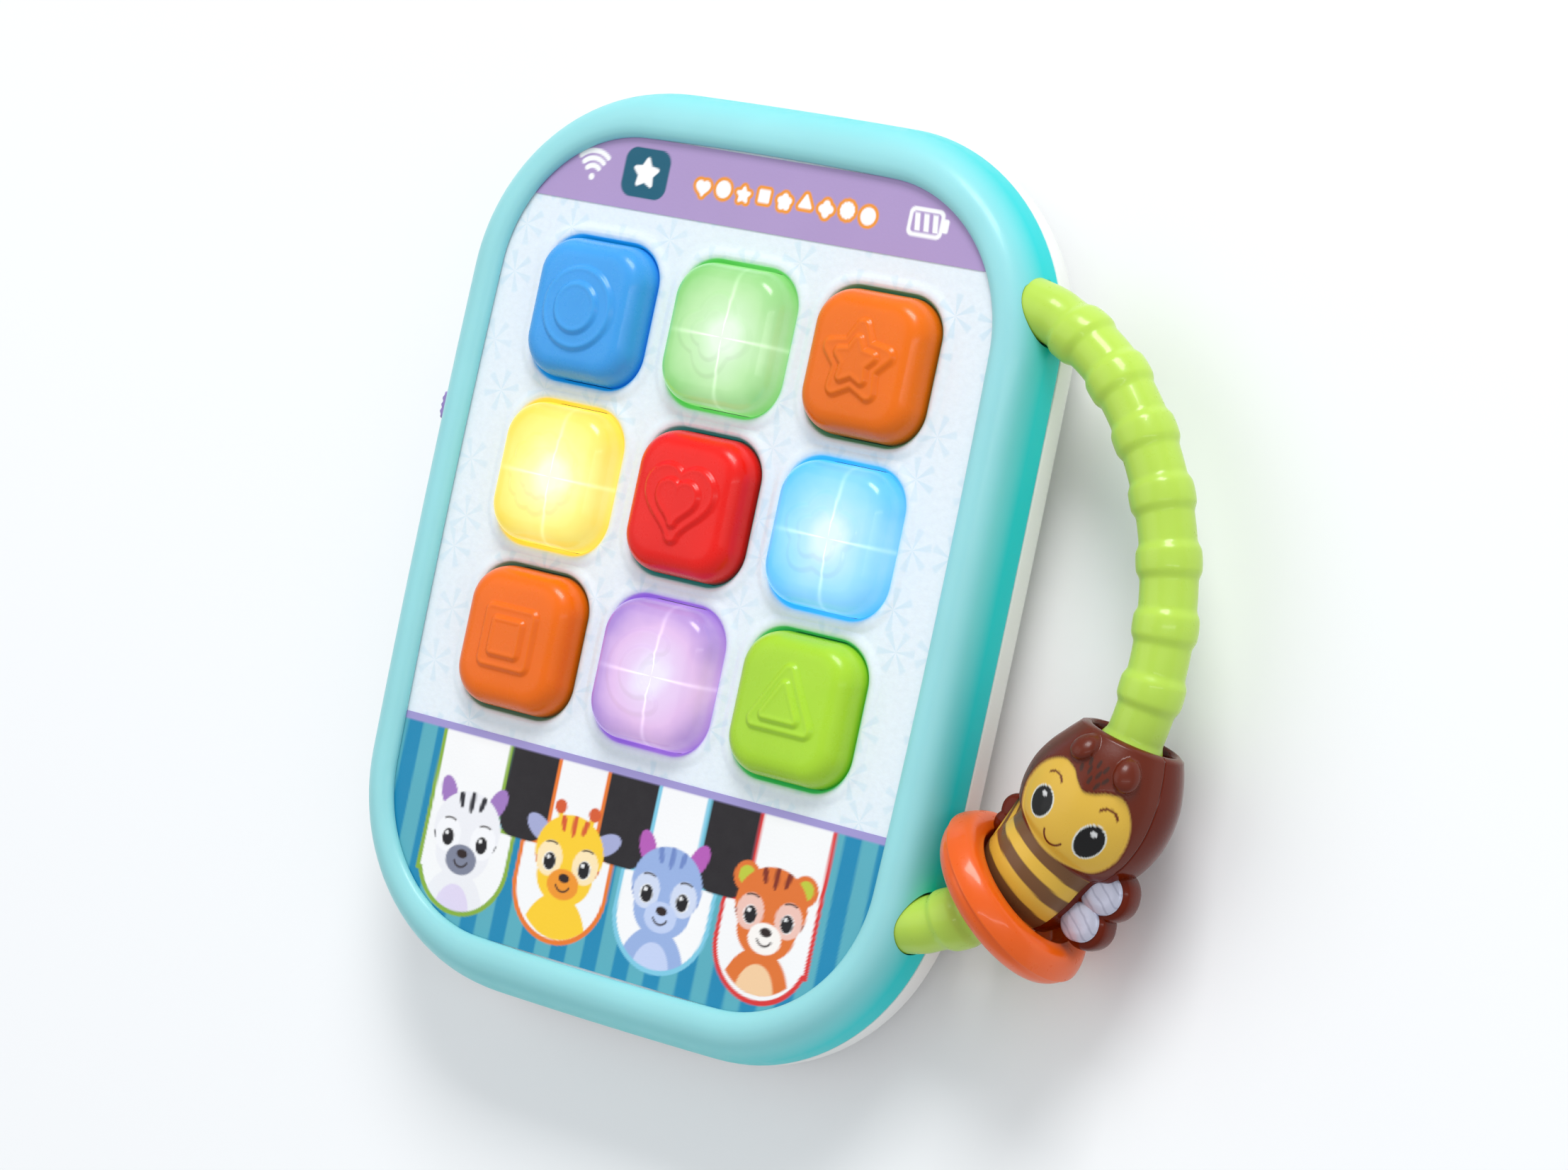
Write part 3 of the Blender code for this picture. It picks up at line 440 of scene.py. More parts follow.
class NodeSketch:
    """Builds one node material around a Principled shader."""

    def __init__(self, name: str) -> None:
        """Start a material with its shader, output and object coordinates."""
        self.material = bpy.data.materials.new(name)
        self.material.use_nodes = True
        self.tree = self.material.node_tree
        self.shader = self.tree.nodes["Principled BSDF"]
        self.place = self.add("ShaderNodeTexCoord").outputs["Object"]

    def add(self, kind: str, **values: object) -> bpy.types.Node:
        """Add a node; values name its properties."""
        node = self.tree.nodes.new(kind)
        for key, value in values.items():
            setattr(node, key, value)
        return node

    def join(self, source: bpy.types.NodeSocket, target: bpy.types.NodeSocket) -> None:
        """Link two sockets."""
        self.tree.links.new(source, target)

    def feed(self, target: bpy.types.NodeSocket, value: object) -> None:
        """Link a socket to a field, or give it a plain value."""
        if isinstance(value, bpy.types.NodeSocket):
            self.join(value, target)
        else:
            target.default_value = value

    def math(self, operation: str, *values: bpy.types.NodeSocket | float) -> bpy.types.NodeSocket:
        """Return a Math node's result on fields and numbers."""
        node = self.add("ShaderNodeMath", operation=operation)
        for target, value in zip(node.inputs, values):
            self.feed(target, value)
        return node.outputs[0]

    def vector(self, operation: str, *values: object, result: str = "Vector") -> bpy.types.NodeSocket:
        """Return a Vector Math node's result on fields and constant vectors."""
        node = self.add("ShaderNodeVectorMath", operation=operation)
        for target, value in zip(node.inputs, values):
            self.feed(target, value)
        return node.outputs[result]

    def turn(self, offset: bpy.types.NodeSocket) -> bpy.types.NodeSocket:
        """Return the angle about +Z of a field of offsets."""
        split = self.add("ShaderNodeSeparateXYZ")
        self.join(offset, split.inputs[0])
        return self.math('ARCTAN2', split.outputs["Y"], split.outputs["X"])

    def noise(self, scale: float, detail: float = 3.0, roughness: float = 0.5) -> bpy.types.NodeSocket:
        """Return a noise field on object coordinates, with the scale in cells per metre."""
        node = self.add("ShaderNodeTexNoise")
        for key, value in (("Scale", scale), ("Detail", detail), ("Roughness", roughness)):
            node.inputs[key].default_value = value
        self.join(self.place, node.inputs["Vector"])
        return node.outputs["Fac"]

    def remap(self, value: bpy.types.NodeSocket, low: float, high: float,
              from_low: float = 0.0, from_high: float = 1.0) -> bpy.types.NodeSocket:
        """Map a field from one range to another, clamped."""
        node = self.add("ShaderNodeMapRange")
        self.join(value, node.inputs["Value"])
        for key, number in (("From Min", from_low), ("From Max", from_high),
                            ("To Min", low), ("To Max", high)):
            node.inputs[key].default_value = number
        return node.outputs["Result"]

    def mix(self, share: object, first: object, second: object, blend: str = 'MIX') -> bpy.types.NodeSocket:
        """Mix two colours, each given as a value or as a socket."""
        node = self.add("ShaderNodeMix", data_type='RGBA', blend_type=blend)
        self.feed(node.inputs["Factor"], share)
        for key, colour in ((6, first), (7, second)):
            self.feed(node.inputs[key], colour if isinstance(colour, bpy.types.NodeSocket) else (*colour, 1.0))
        return node.outputs[2]

    def wear(self, low: float, high: float, *span: float) -> None:
        """Break the gloss with faint handling marks, between two roughnesses."""
        marks = self.remap(self.noise(310.0, 5.0, 0.65), low, high, *span)
        self.join(marks, self.shader.inputs["Roughness"])

    def let_light_in(self, weight: float) -> None:
        """Let light a few millimetres into the plastic."""
        self.shader.inputs["Subsurface Weight"].default_value = weight
        self.shader.inputs["Subsurface Radius"].default_value = (0.004, 0.003, 0.002)
        self.shader.inputs["Subsurface Scale"].default_value = 1.0

    def bump(self, height: bpy.types.NodeSocket, distance: float, strength: float = 1.0) -> None:
        """Roughen the surface by a height field; a second call adds to the first."""
        node = self.add("ShaderNodeBump")
        node.inputs["Distance"].default_value = distance
        node.inputs["Strength"].default_value = strength
        self.join(height, node.inputs["Height"])
        normal = self.shader.inputs["Normal"]
        if normal.is_linked:
            self.join(normal.links[0].from_socket, node.inputs["Normal"])
        self.join(node.outputs["Normal"], normal)


@dataclass(frozen=True)
class MouldedPlastic:
    """Injection-moulded plastic: a clear gloss or a fine spark-eroded grain, with slight handling marks."""

    name: str
    colour: Colour
    roughness: float = 0.3
    grain: float = 0.02
    grain_cells: float = 2600.0
    variation: float = 0.05
    shine: float = 0.3
    coat: float = 0.0
    glow_through: float = 0.0
    inked: bool = False
    # painted shade: a darker, stronger colour that the base fades into lower down, over the band of heights
    # below; it stands in for the shade on a lower side wall
    painted_shade: Colour | None = None
    painted_shade_band: tuple[float, float] = (0.0, 1.0)

    def make(self) -> bpy.types.Material:
        """Build the material.

        Returns:
            A material whose colour drifts slightly and, when a painted shade colour is given, fades into
            it lower down as painted shade; whose gloss is broken by faint marks, and whose bump is a fine
            grain over a slow moulding ripple.
        """
        sketch = NodeSketch(self.name)
        shader = sketch.shader
        drift = sketch.remap(sketch.noise(38.0, 2.0), 0.0, 1.0, 0.3, 0.7)
        if self.inked:
            ink = sketch.add("ShaderNodeVertexColor", layer_name="ink").outputs["Color"]
            hue = sketch.add("ShaderNodeHueSaturation")
            sketch.join(ink, hue.inputs["Color"])
            sketch.join(sketch.remap(drift, 1.0 - self.variation, 1.0 + self.variation), hue.inputs["Value"])
            sketch.join(hue.outputs["Color"], shader.inputs["Base Color"])
        else:
            dark = tuple(part * (1 - self.variation) for part in self.colour)
            light = tuple(min(1.0, part * (1 + self.variation)) for part in self.colour)
            base = sketch.mix(drift, dark, light)
            if self.painted_shade:
                # Painted shade: the colour is the shade colour at the bottom of the band and fades back to the
                # base colour at its top.
                height = sketch.add("ShaderNodeSeparateXYZ")
                sketch.join(sketch.place, height.inputs[0])
                rise = sketch.remap(height.outputs["Z"], 0.0, 1.0, *self.painted_shade_band)
                base = sketch.mix(rise, self.painted_shade, base)
            sketch.join(base, shader.inputs["Base Color"])
        sketch.wear(self.roughness * 0.85, self.roughness * 1.2, 0.3, 0.7)
        sketch.bump(sketch.noise(55.0, 1.0), 0.00012, 0.35)
        if self.grain:
            sketch.bump(sketch.noise(self.grain_cells, 2.0), self.grain * MM, 0.6)
        shader.inputs["Specular IOR Level"].default_value = self.shine
        shader.inputs["Coat Weight"].default_value = self.coat
        shader.inputs["Coat Roughness"].default_value = 0.08
        if self.glow_through:
            sketch.let_light_in(self.glow_through)
        return sketch.material


@dataclass(frozen=True)
class FlowerPanel:
    """White plastic with a leather grain and a scatter of pale six-petalled flowers."""

    name: str
    ground: Colour
    petals: Colour
    cells: float = 78.0
    reach: float = 0.4
    # painted glow: emission strength of the window walls' ink, which stands in for the buttons' light on them
    painted_wall_glow: float = 0.42

    def make(self) -> bpy.types.Material:
        """Build the material.

        Returns:
            A material with a flower at each point of a loose grid: its petals are where the turn about
            the point is close to a multiple of 60 degrees, out to the flower's reach. Where the vertex ink has
            alpha, its colour replaces the print and glows as emission: painted glow on the window walls.
        """
        sketch = NodeSketch(self.name)
        shader = sketch.shader
        spots = sketch.add("ShaderNodeTexVoronoi", voronoi_dimensions='2D', feature='F1')
        spots.inputs["Scale"].default_value = self.cells
        spots.inputs["Randomness"].default_value = 0.55
        sketch.join(sketch.place, spots.inputs["Vector"])
        hue = sketch.add("ShaderNodeSeparateColor")
        sketch.join(spots.outputs["Color"], hue.inputs[0])
        turn = sketch.turn(sketch.vector('SUBTRACT', sketch.place, spots.outputs["Position"]))
        wave = sketch.math('MULTIPLY_ADD', turn, 3.0, sketch.remap(hue.outputs["Red"], 0.0, 3.0))
        petal = sketch.remap(sketch.math('ABSOLUTE', sketch.math('COSINE', wave)), 0.0, 1.0, 0.74, 0.95)
        near = sketch.remap(spots.outputs["Distance"], 1.0, 0.0, self.reach - 0.05, self.reach)
        drift = sketch.remap(sketch.noise(60.0, 2.0), 0.55, 1.0, 0.3, 0.7)
        flower = sketch.math('MULTIPLY', sketch.math('MULTIPLY', petal, near), drift)
        ground = sketch.mix(sketch.remap(sketch.noise(700.0, 3.0), 0.0, 1.0, 0.3, 0.7),
                            tuple(0.955 * part for part in self.ground), self.ground)
        printed = sketch.mix(flower, ground, self.petals)
        # Painted glow: where the ink has alpha its colour replaces the print and is also emitted, lighting the
        # window walls in the buttons' colours.
        ink = sketch.add("ShaderNodeVertexColor", layer_name="ink").outputs
        sketch.join(sketch.mix(ink["Alpha"], printed, ink["Color"]), shader.inputs["Base Color"])
        sketch.join(ink["Color"], shader.inputs["Emission Color"])
        sketch.join(sketch.remap(ink["Alpha"], 0.0, self.painted_wall_glow), shader.inputs["Emission Strength"])
        sketch.wear(0.34, 0.46, 0.3, 0.7)
        sketch.bump(sketch.noise(800.0, 3.0, 0.6), 0.00008, 0.7)
        sketch.let_light_in(0.1)
        return sketch.material


def dress(piece: bpy.types.Object, material: bpy.types.Material, body: str,
          replaced: Sequence[str] = ()) -> bpy.types.Object:
    """Give a piece its material, the body it rides on and the solids it stands for.

    Args:
        piece: The finished piece.
        material: Its material.
        body: The body that it moves with.
        replaced: Names of the solids that it replaces.

    Returns:
        The same piece.
    """
    piece.data.materials.clear()
    piece.data.materials.append(material)
    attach(piece, body)
    if replaced:
        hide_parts(*replaced)
    LOG.info("%s: %d faces on %s", piece.name, len(piece.data.polygons), body)
    return piece


# ---------------------------------------------------------------- the case


@dataclass
class Case:
    """The two case shells and the face panel, with every outline between the window and the seam."""

    window_half: tuple[float, float] = (66.4 * MM, 91.4 * MM)
    window_corner: float = 33.0 * MM
    window_bulge: float = 2.0 * MM
    bezel_width: float = 10.2 * MM
    case_corner: float = 47.0 * MM
    case_bulge: float = 1.5 * MM
    pitch: float = 37.5 * MM
    button_window: tuple[float, float] = (15.5 * MM, 16.6 * MM)
    window_round: float = 9.0 * MM
    socket_radius: float = 6.6 * MM
    seam_gap: float = 0.35 * MM
    # colours of the painted glow on each window's walls, one for each button, lit or not
    window_light: tuple[Colour, ...] = (
        tone(20, 150, 205), tone(90, 190, 90), tone(60, 120, 90), tone(236, 205, 80), tone(40, 130, 125),
        tone(60, 180, 240), tone(70, 110, 90), tone(150, 110, 205), tone(50, 170, 90))
    case_half: tuple[float, float] = field(init=False)
    seam_z: float = field(init=False)
    panel_z: float = field(init=False)
    button_centres: list[tuple[float, float]] = field(init=False)

    def __post_init__(self) -> None:
        """Read the case's own sizes from the frame."""
        low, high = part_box("front_shell")
        self.case_half = ((high.x - low.x) / 2, (high.y - low.y) / 2)
        self.seam_z = low.z
        self.panel_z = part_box("face_panel")[1].z
        self.button_centres = [middle_of(f"button_cap_{number}") for number in range(1, 10)]

    def rings(self, offsets: Array, corner_points: int = 30, side_points: int = 16) -> Array:
        """Return the case outline at distances outside the bezel's window.

        Half sizes, corner and bulge all grow in proportion from the window to the seam.
        """
        share = np.asarray(offsets, float) / self.bezel_width
        half_x = self.window_half[0] + (self.case_half[0] - self.window_half[0]) * share
        half_y = self.window_half[1] + (self.case_half[1] - self.window_half[1]) * share
        corner = self.window_corner + (self.case_corner - self.window_corner) * share
        bulge = self.window_bulge + (self.case_bulge - self.window_bulge) * share
        return rounded_ring(half_x, half_y, corner, bulge, corner_points, side_points)

    def bezel_profile(self) -> Array:
        """Return the outer half of the bezel's section as (offset, height above the panel)."""
        return smooth_path((
            (0.0, 0.4 * MM), (0.15 * MM, 1.1 * MM), (0.9 * MM, 1.9 * MM), (2.3 * MM, 2.4 * MM),
            (4.2 * MM, 2.3 * MM), (6.1 * MM, 1.4 * MM), (7.7 * MM, -0.3 * MM), (8.9 * MM, -2.9 * MM),
            (9.65 * MM, -6.0 * MM), (10.05 * MM, -8.8 * MM), (10.2 * MM, -10.3 * MM)), 5)

    def front_shell(self, arc: "HandleArc") -> bpy.types.Object:
        """Carry the bezel's section round the case outline and open the handle sockets and slider slot."""
        outer = self.bezel_profile() + (0.0, self.panel_z)
        seam = self.seam_z + self.seam_gap / 2
        lip = np.array([(10.15 * MM, seam + 0.15 * MM), (9.9 * MM, seam), (8.2 * MM, seam)])
        inner = np.array([(7.9 * MM, seam + 4 * MM), (7.0 * MM, seam + 8 * MM), (5.6 * MM, seam + 10.4 * MM),
                          (4.6 * MM, self.panel_z + 0.3 * MM), (0.2 * MM, self.panel_z + 0.3 * MM)])
        profile = np.vstack([outer, lip, inner])
        piece = surface("bezel_frame", lift(self.rings(profile[:, 0]), profile[:, 1]), wrap_rows=True)
        for side in (-1, 1):
            carve(piece, arc.socket_tool(side, self.socket_radius))
        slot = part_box("volume_knob")
        half = ((slot[1].y - slot[0].y) / 2 + 5.0 * MM, 1.5 * MM)
        middle = (slot[0] + slot[1]) / 2
        tool = rounded_ring([half[1]], [half[0]], [1.4 * MM], 0.0, 8, 4)[0]
        ends = [np.column_stack([np.full(len(tool), x), tool[:, 1] + middle.y, tool[:, 0] + middle.z])
                for x in (-80 * MM, -70 * MM)]
        carve(piece, surface("slot_tool", np.stack(ends)))
        sharpen(piece)
        return piece

    def back_shell(self, arc: "HandleArc") -> bpy.types.Object:
        """Carry the tray's section round the case outline, then add the hump, feet and holes.

        The rows run from the middle of the back out and up to the seam, and down inside to the middle.
        """
        seam = self.seam_z - self.seam_gap / 2
        back = self.panel_z - 21.0 * MM
        wall = smooth_path(((3.6 * MM, back), (6.2 * MM, back + 0.4 * MM), (8.4 * MM, back + 1.7 * MM),
                            (9.7 * MM, back + 3.8 * MM), (10.2 * MM, seam - 3.0 * MM),
                            (10.2 * MM, seam - 0.4 * MM), (9.9 * MM, seam)), 5)
        inner = np.array([(8.0 * MM, seam), (8.0 * MM, back + 6 * MM), (6.8 * MM, back + 3 * MM),
                          (3.6 * MM, back + 2.2 * MM)])
        spread = np.array([0.04, 0.3, 0.6, 0.85])
        flat = np.full(len(spread), 3.6 * MM)
        profile = np.vstack([np.stack([flat, np.full(len(spread), back)], axis=-1), wall, inner,
                             np.stack([flat, np.full(len(spread), back + 2.2 * MM)], axis=-1)])
        scale = np.concatenate([spread, np.ones(len(wall) + len(inner)), spread[::-1]])
        rings = self.rings(profile[:, 0]) * scale[:, None, None]
        piece = surface("back_cover", lift(rings, profile[:, 1]))
        carve(piece, self.hump(back), 'UNION')
        places = [(*middle_of(f"foot_pad_{number}"), 0.0) for number in range(1, 6)]
        posts = upright_rod("post_tool", (0.0, 0.0), np.array([0.3, 0.35, 0.7, 1.5, 5.6, 7.5]) * MM,
                            np.array([5.3, 5.6, 5.95, 6.2, 6.9, 8.6]) * MM)
        carve(piece, repeat(posts, [spot for spot in places if spot[1] < 20 * MM]), 'UNION')
        recess = upright_rod("recess_tool", (0.0, 0.0), np.array([-1.0, 0.3, 0.5, 1.5]) * MM,
                             np.array([4.9, 4.9, 4.5, 4.5]) * MM)
        carve(piece, repeat(recess, places))
        self.open_back(piece, back)
        for side in (-1, 1):
            carve(piece, arc.socket_tool(side, self.socket_radius))
        sharpen(piece)
        return piece

    def hump(self, back: float) -> bpy.types.Object:
        """Swell the back over the cells: a rounded block with a soft shoulder and a flared root."""
        profile = smooth_path((
            (-12.0 * MM, 0.3 * MM), (-4.2 * MM, 0.3 * MM), (-1.9 * MM, 0.6 * MM), (-0.5 * MM, 1.7 * MM),
            (0.3 * MM, 3.6 * MM), (1.3 * MM, 5.2 * MM), (3.4 * MM, back), (4.0 * MM, back + 1 * MM)), 4)
        grow = profile[:, 0]
        rings = rounded_ring(46 * MM + grow, 29 * MM + grow, 15 * MM + grow, 0.0, 16, 8)
        rings = rings + (0.0, middle_of("battery_door")[1])
        return surface("hump_tool", lift(rings, profile[:, 1]))

    def open_back(self, piece: bpy.types.Object, back: float) -> None:
        """Cut the battery door's pocket, the screw wells and the speaker holes into the back."""
        low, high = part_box("battery_door")
        middle = (low + high) / 2
        pocket = rounded_ring([(high.x - low.x) / 2 + 0.3 * MM] * 2, [(high.y - low.y) / 2 + 0.3 * MM] * 2,
                              [3.3 * MM] * 2, 0.0, 8, 4) + (middle.x, middle.y)
        carve(piece, surface("pocket_tool", lift(pocket, np.array([-1 * MM, high.z + 0.3 * MM]))))
        wells = upright_rod("well_tool", (0.0, 0.0), back + np.array([-1, 0.001, 1.6]) * MM,
                            np.array([3.7, 3.3, 3.1]) * MM)
        carve(piece, repeat(wells, [(*middle_of(f"case_screw_{number}"), 0.0) for number in range(1, 7)]))
        centre = middle_of("speaker_magnet")
        spots = [(centre[0], centre[1], 0.0)]
        for count, radius in ((6, 5.2 * MM), (12, 10.4 * MM), (18, 15.4 * MM)):
            turn = 2 * np.pi * np.arange(count) / count
            spots += [(centre[0] + radius * c, centre[1] + radius * s, 0.0)
                      for c, s in zip(np.cos(turn), np.sin(turn))]
        hole = upright_rod("hole_tool", (0.0, 0.0), back + np.array([-1, 0, 0.5, 3]) * MM,
                           np.array([2.4, 1.75, 1.45, 1.45]) * MM, 20)
        carve(piece, repeat(hole, spots))

    def window_distance(self, points: Array) -> Array:
        """Return each point's distance outside the nearest button window.

        The distance to a rounded rectangle is the length of the part of the point that lies past the
        corner's centre, less the corner radius.
        """
        corner = self.window_round
        inner = np.array(self.button_window) - corner
        offset = np.abs(points[..., None, :] - np.array(self.button_centres)) - inner
        outside = np.linalg.norm(np.maximum(offset, 0.0), axis=-1) + np.minimum(offset.max(axis=-1), 0.0)
        return outside.min(axis=-1) - corner

    def panel_height(self, points: Array) -> Array:
        """Return the panel's height: flat, with a low soft rim that rolls over into each window."""
        distance = self.window_distance(points)
        rim = smooth_step(0.0, 1.2 * MM, distance) * (1 - smooth_step(1.6 * MM, 3.4 * MM, distance))
        return self.panel_z + 0.35 * MM * rim

    def face_panel(self) -> bpy.types.Object:
        """Lay the panel as nine rings round the windows and one ring out to the case.

        Each ring runs from a window's rounded outline to its square cell, going from round to square
        corners on the way; the last one runs from the block of cells to under the bezel.
        """
        share = np.concatenate([[0, 0, 0, 0, 0.0], np.linspace(0.04, 1, 16)])
        drop = np.concatenate([[-4.2, -3.0, -1.6, -0.7, -0.18], np.zeros(16)]) * MM
        inset = np.concatenate([[1.1, 1.05, 0.85, 0.4, -0.1], np.zeros(16)]) * MM
        half = self.pitch / 2
        cells = rounded_ring(self.button_window[0] + inset * -0.5 + (half - self.button_window[0]) * share,
                             self.button_window[1] + inset * -0.5 + (half - self.button_window[1]) * share,
                             self.window_round + (6 * MM - self.window_round) * share, 0.0, 17, 9, share)
        grids = []
        for centre in self.button_centres:
            flat = cells + centre
            grids.append(lift(flat, self.panel_height(flat) + drop[:, None]))
        edge = cells[-1]
        right = edge[np.isclose(edge[:, 0], half, atol=1e-7)]
        right = right[np.argsort(right[:, 1])]
        step = right[:-1, 1]
        run = np.concatenate([step - self.pitch, step, step + self.pitch])
        reach = 1.5 * self.pitch
        block = np.vstack([np.stack([np.full(len(run), reach), run], axis=-1),
                           np.stack([-run, np.full(len(run), reach)], axis=-1),
                           np.stack([np.full(len(run), -reach), -run], axis=-1),
                           np.stack([run, np.full(len(run), -reach)], axis=-1)])
        centre = np.array(self.button_centres[4])
        outline = self.rings([3.9 * MM], 40, 24)[0] - centre
        turn = np.unwrap(np.arctan2(outline[:, 1], outline[:, 0]))
        radius = np.linalg.norm(outline, axis=1)
        toward = np.arctan2(block[:, 1], block[:, 0])
        reach_out = np.interp(toward, turn, radius, period=2 * np.pi)
        far = np.stack([reach_out * np.cos(toward), reach_out * np.sin(toward)], axis=-1)
        rows = (np.linspace(0, 1, 26) ** 1.5)[:, None, None]
        flat = block + (far - block) * rows + centre
        grids.append(lift(flat, self.panel_height(flat)))
        piece = joined_sheet("face_plate", grids)
        thicken(piece, 1.4 * MM)
        self.paint_window_glow(piece)
        return piece

    def paint_window_glow(self, piece: bpy.types.Object) -> None:
        """Paint glow onto the window walls in each button's light colour, as base colour and emission both;
        the ink's alpha is how much of the painted glow shows.
        """
        points = np.zeros(len(piece.data.vertices) * 3)
        piece.data.vertices.foreach_get("co", points)
        points = points.reshape(-1, 3)
        gap = np.linalg.norm(points[:, None, :2] - np.array(self.button_centres)[None], axis=-1)
        colours = np.array(self.window_light)[gap.argmin(axis=1)]
        outside = self.window_distance(points[:, :2])
        depth = self.panel_z - points[:, 2]
        # painted glow: full at the window's edge and down the wall, gone a little way out on the panel
        share = np.maximum(1 - smooth_step(-0.1 * MM, 0.7 * MM, outside),
                           smooth_step(0.1 * MM, 1.2 * MM, depth))
        share = np.where(outside < 1.2 * MM, share, 0.0)
        paint_points(piece.data, np.concatenate([colours, share[:, None]], axis=1))

    def build(self, arc: "HandleArc") -> None:
        """Make the three case mouldings and dress them."""
        # The bezel's lower side wall fades to a darker, stronger teal: painted shade, not a change in the
        # plastic.
        teal = MouldedPlastic("teal_plastic", tone(150, 216, 220), roughness=0.34, variation=0.03,
                              grain=0.008, coat=0.1, glow_through=0.1, painted_shade=(0.0, 0.62, 0.64),
                              painted_shade_band=(self.panel_z - 6.0 * MM, self.panel_z + 2.0 * MM))
        cream = MouldedPlastic("cream_plastic", (0.86, 0.86, 0.84), roughness=0.42, variation=0.02)
        white = FlowerPanel("panel_plastic", tone(232, 241, 247), tone(212, 230, 240))
        dress(self.front_shell(arc), teal.make(), "tablet", ["front_shell"])
        dress(self.back_shell(arc), cream.make(), "tablet", ["back_shell"])
        dress(self.face_panel(), white.make(), "tablet", ["face_panel"])


# ---------------------------------------------------------------- the handle's arc


@dataclass
class HandleArc:
    """The arc that the handle's tube follows, with the ring and the bee on it.

    A place on it is an arc angle, a turn about the tube, where 90 degrees is up and 0 points away from
    the tablet, and a distance from the tube's axis.
    """

    centre: tuple[float, float, float] = field(init=False)
    radius: float = 76.5 * MM
    bend_start: float = 47.0
    bend_end: float = 64.0
    bend: float = 3.0 * MM

    def __post_init__(self) -> None:
        """Take the arc's centre from the joint that the ring slides on."""
        joint = next(one for one in frame["joints"] if one["name"] == "ring_slide")
        self.centre = tuple(joint["pos_m"])

    def points(self, angle: Array, turn: Array, distance: Array, rise: Array | None = None) -> Array:
        """Return points at arc angles, turns about the tube and distances, all broadcast together.

        Past the bend's start the path draws in towards the arc's centre, faster and faster.

        Args:
            angle: Arc angles in degrees.
            turn: Turns about the tube in degrees.
            distance: Distances across the tablet, and upwards too unless a rise is given.
            rise: Distances upwards, for an oval section.
        """
        angle, turn, distance, rise = np.broadcast_arrays(
            np.radians(angle), np.radians(turn), distance, distance if rise is None else rise)
        past = np.maximum(np.abs(np.degrees(angle)) - self.bend_start, 0.0)
        past = past / (self.bend_end - self.bend_start)
        reach = self.radius - self.bend * past**1.5 + distance * np.cos(turn)
        return np.stack([self.centre[0] + reach * np.cos(angle), self.centre[1] + reach * np.sin(angle),
                         self.centre[2] + rise * np.sin(turn)], axis=-1)

    def socket_tool(self, side: int, radius: float) -> bpy.types.Object:
        """Return the solid that opens one handle socket: the tube's own path, a little wider."""
        angle = side * np.linspace(56.0, 67.0, 10)[:, None]
        turn = np.arange(48)[None, :] * 360 / 48
        return surface("socket_tool", self.points(angle, turn, radius))


# ---------------------------------------------------------------- button caps


@dataclass(frozen=True)
class LitPlastic:
    """Translucent plastic with a lamp behind it: a white heart that fades to the plastic's colour."""

    name: str
    edge: Colour
    middle: Colour
    place: tuple[float, float, float]
    power: float = 0.72
    heart: float = 0.28
    light_reach: float = 17.5 * MM

    def make(self) -> bpy.types.Material:
        """Build the material.

        Returns:
            A glossy shader that glows by the distance from the lamp, with four faint rays where the
            turn about the lamp is close to a multiple of 90 degrees.
        """
        sketch = NodeSketch(self.name)
        shader = sketch.shader
        offset = sketch.vector('SUBTRACT', sketch.place, self.place)
        away = sketch.vector('LENGTH', sketch.vector('MULTIPLY', offset, (1.0, 0.94, 0.0)), result="Value")
        reach = sketch.remap(away, 0.0, 1.0, 0.0, self.light_reach)
        wobble = sketch.remap(sketch.noise(140.0, 2.0), -0.05, 0.05, 0.3, 0.7)
        ramp = sketch.add("ShaderNodeValToRGB")
        stops = ramp.color_ramp.elements
        stops[0].position, stops[0].color = self.heart * 0.55, (1.0, 1.0, 1.0, 1.0)
        stops[1].position, stops[1].color = 0.98, (*self.edge, 1.0)
        for place, colour in ((self.heart + 0.06, tuple(0.35 + 0.65 * part for part in self.middle)),
                              (self.heart + 0.3, self.middle)):
            stop = stops.new(place)
            stop.color = (*colour, 1.0)
        sketch.join(sketch.math('ADD', reach, wobble), ramp.inputs["Fac"])
        rays = sketch.mix(self.rays(sketch, offset, reach), (0.0, 0.0, 0.0), (1.0, 1.0, 1.0))
        sketch.join(sketch.mix(1.0, ramp.outputs["Color"], rays, 'ADD'), shader.inputs["Emission Color"])
        shader.inputs["Emission Strength"].default_value = self.power
        shader.inputs["Base Color"].default_value = (*(0.5 * part for part in self.edge), 1.0)
        sketch.wear(0.16, 0.24)
        sketch.bump(sketch.noise(55.0, 1.0), 0.00012, 0.35)
        return sketch.material

    def rays(self, sketch: NodeSketch, offset: bpy.types.NodeSocket,
             reach: bpy.types.NodeSocket) -> bpy.types.NodeSocket:
        """Return a field of four thin rays that fade outwards."""
        swing = sketch.math('COSINE', sketch.math('MULTIPLY', sketch.turn(offset), 2.0))
        thin = sketch.math('POWER', sketch.math('ABSOLUTE', swing), 260.0)
        return sketch.math('MULTIPLY', thin, sketch.remap(reach, 0.55, 0.0, 0.1, 0.95))


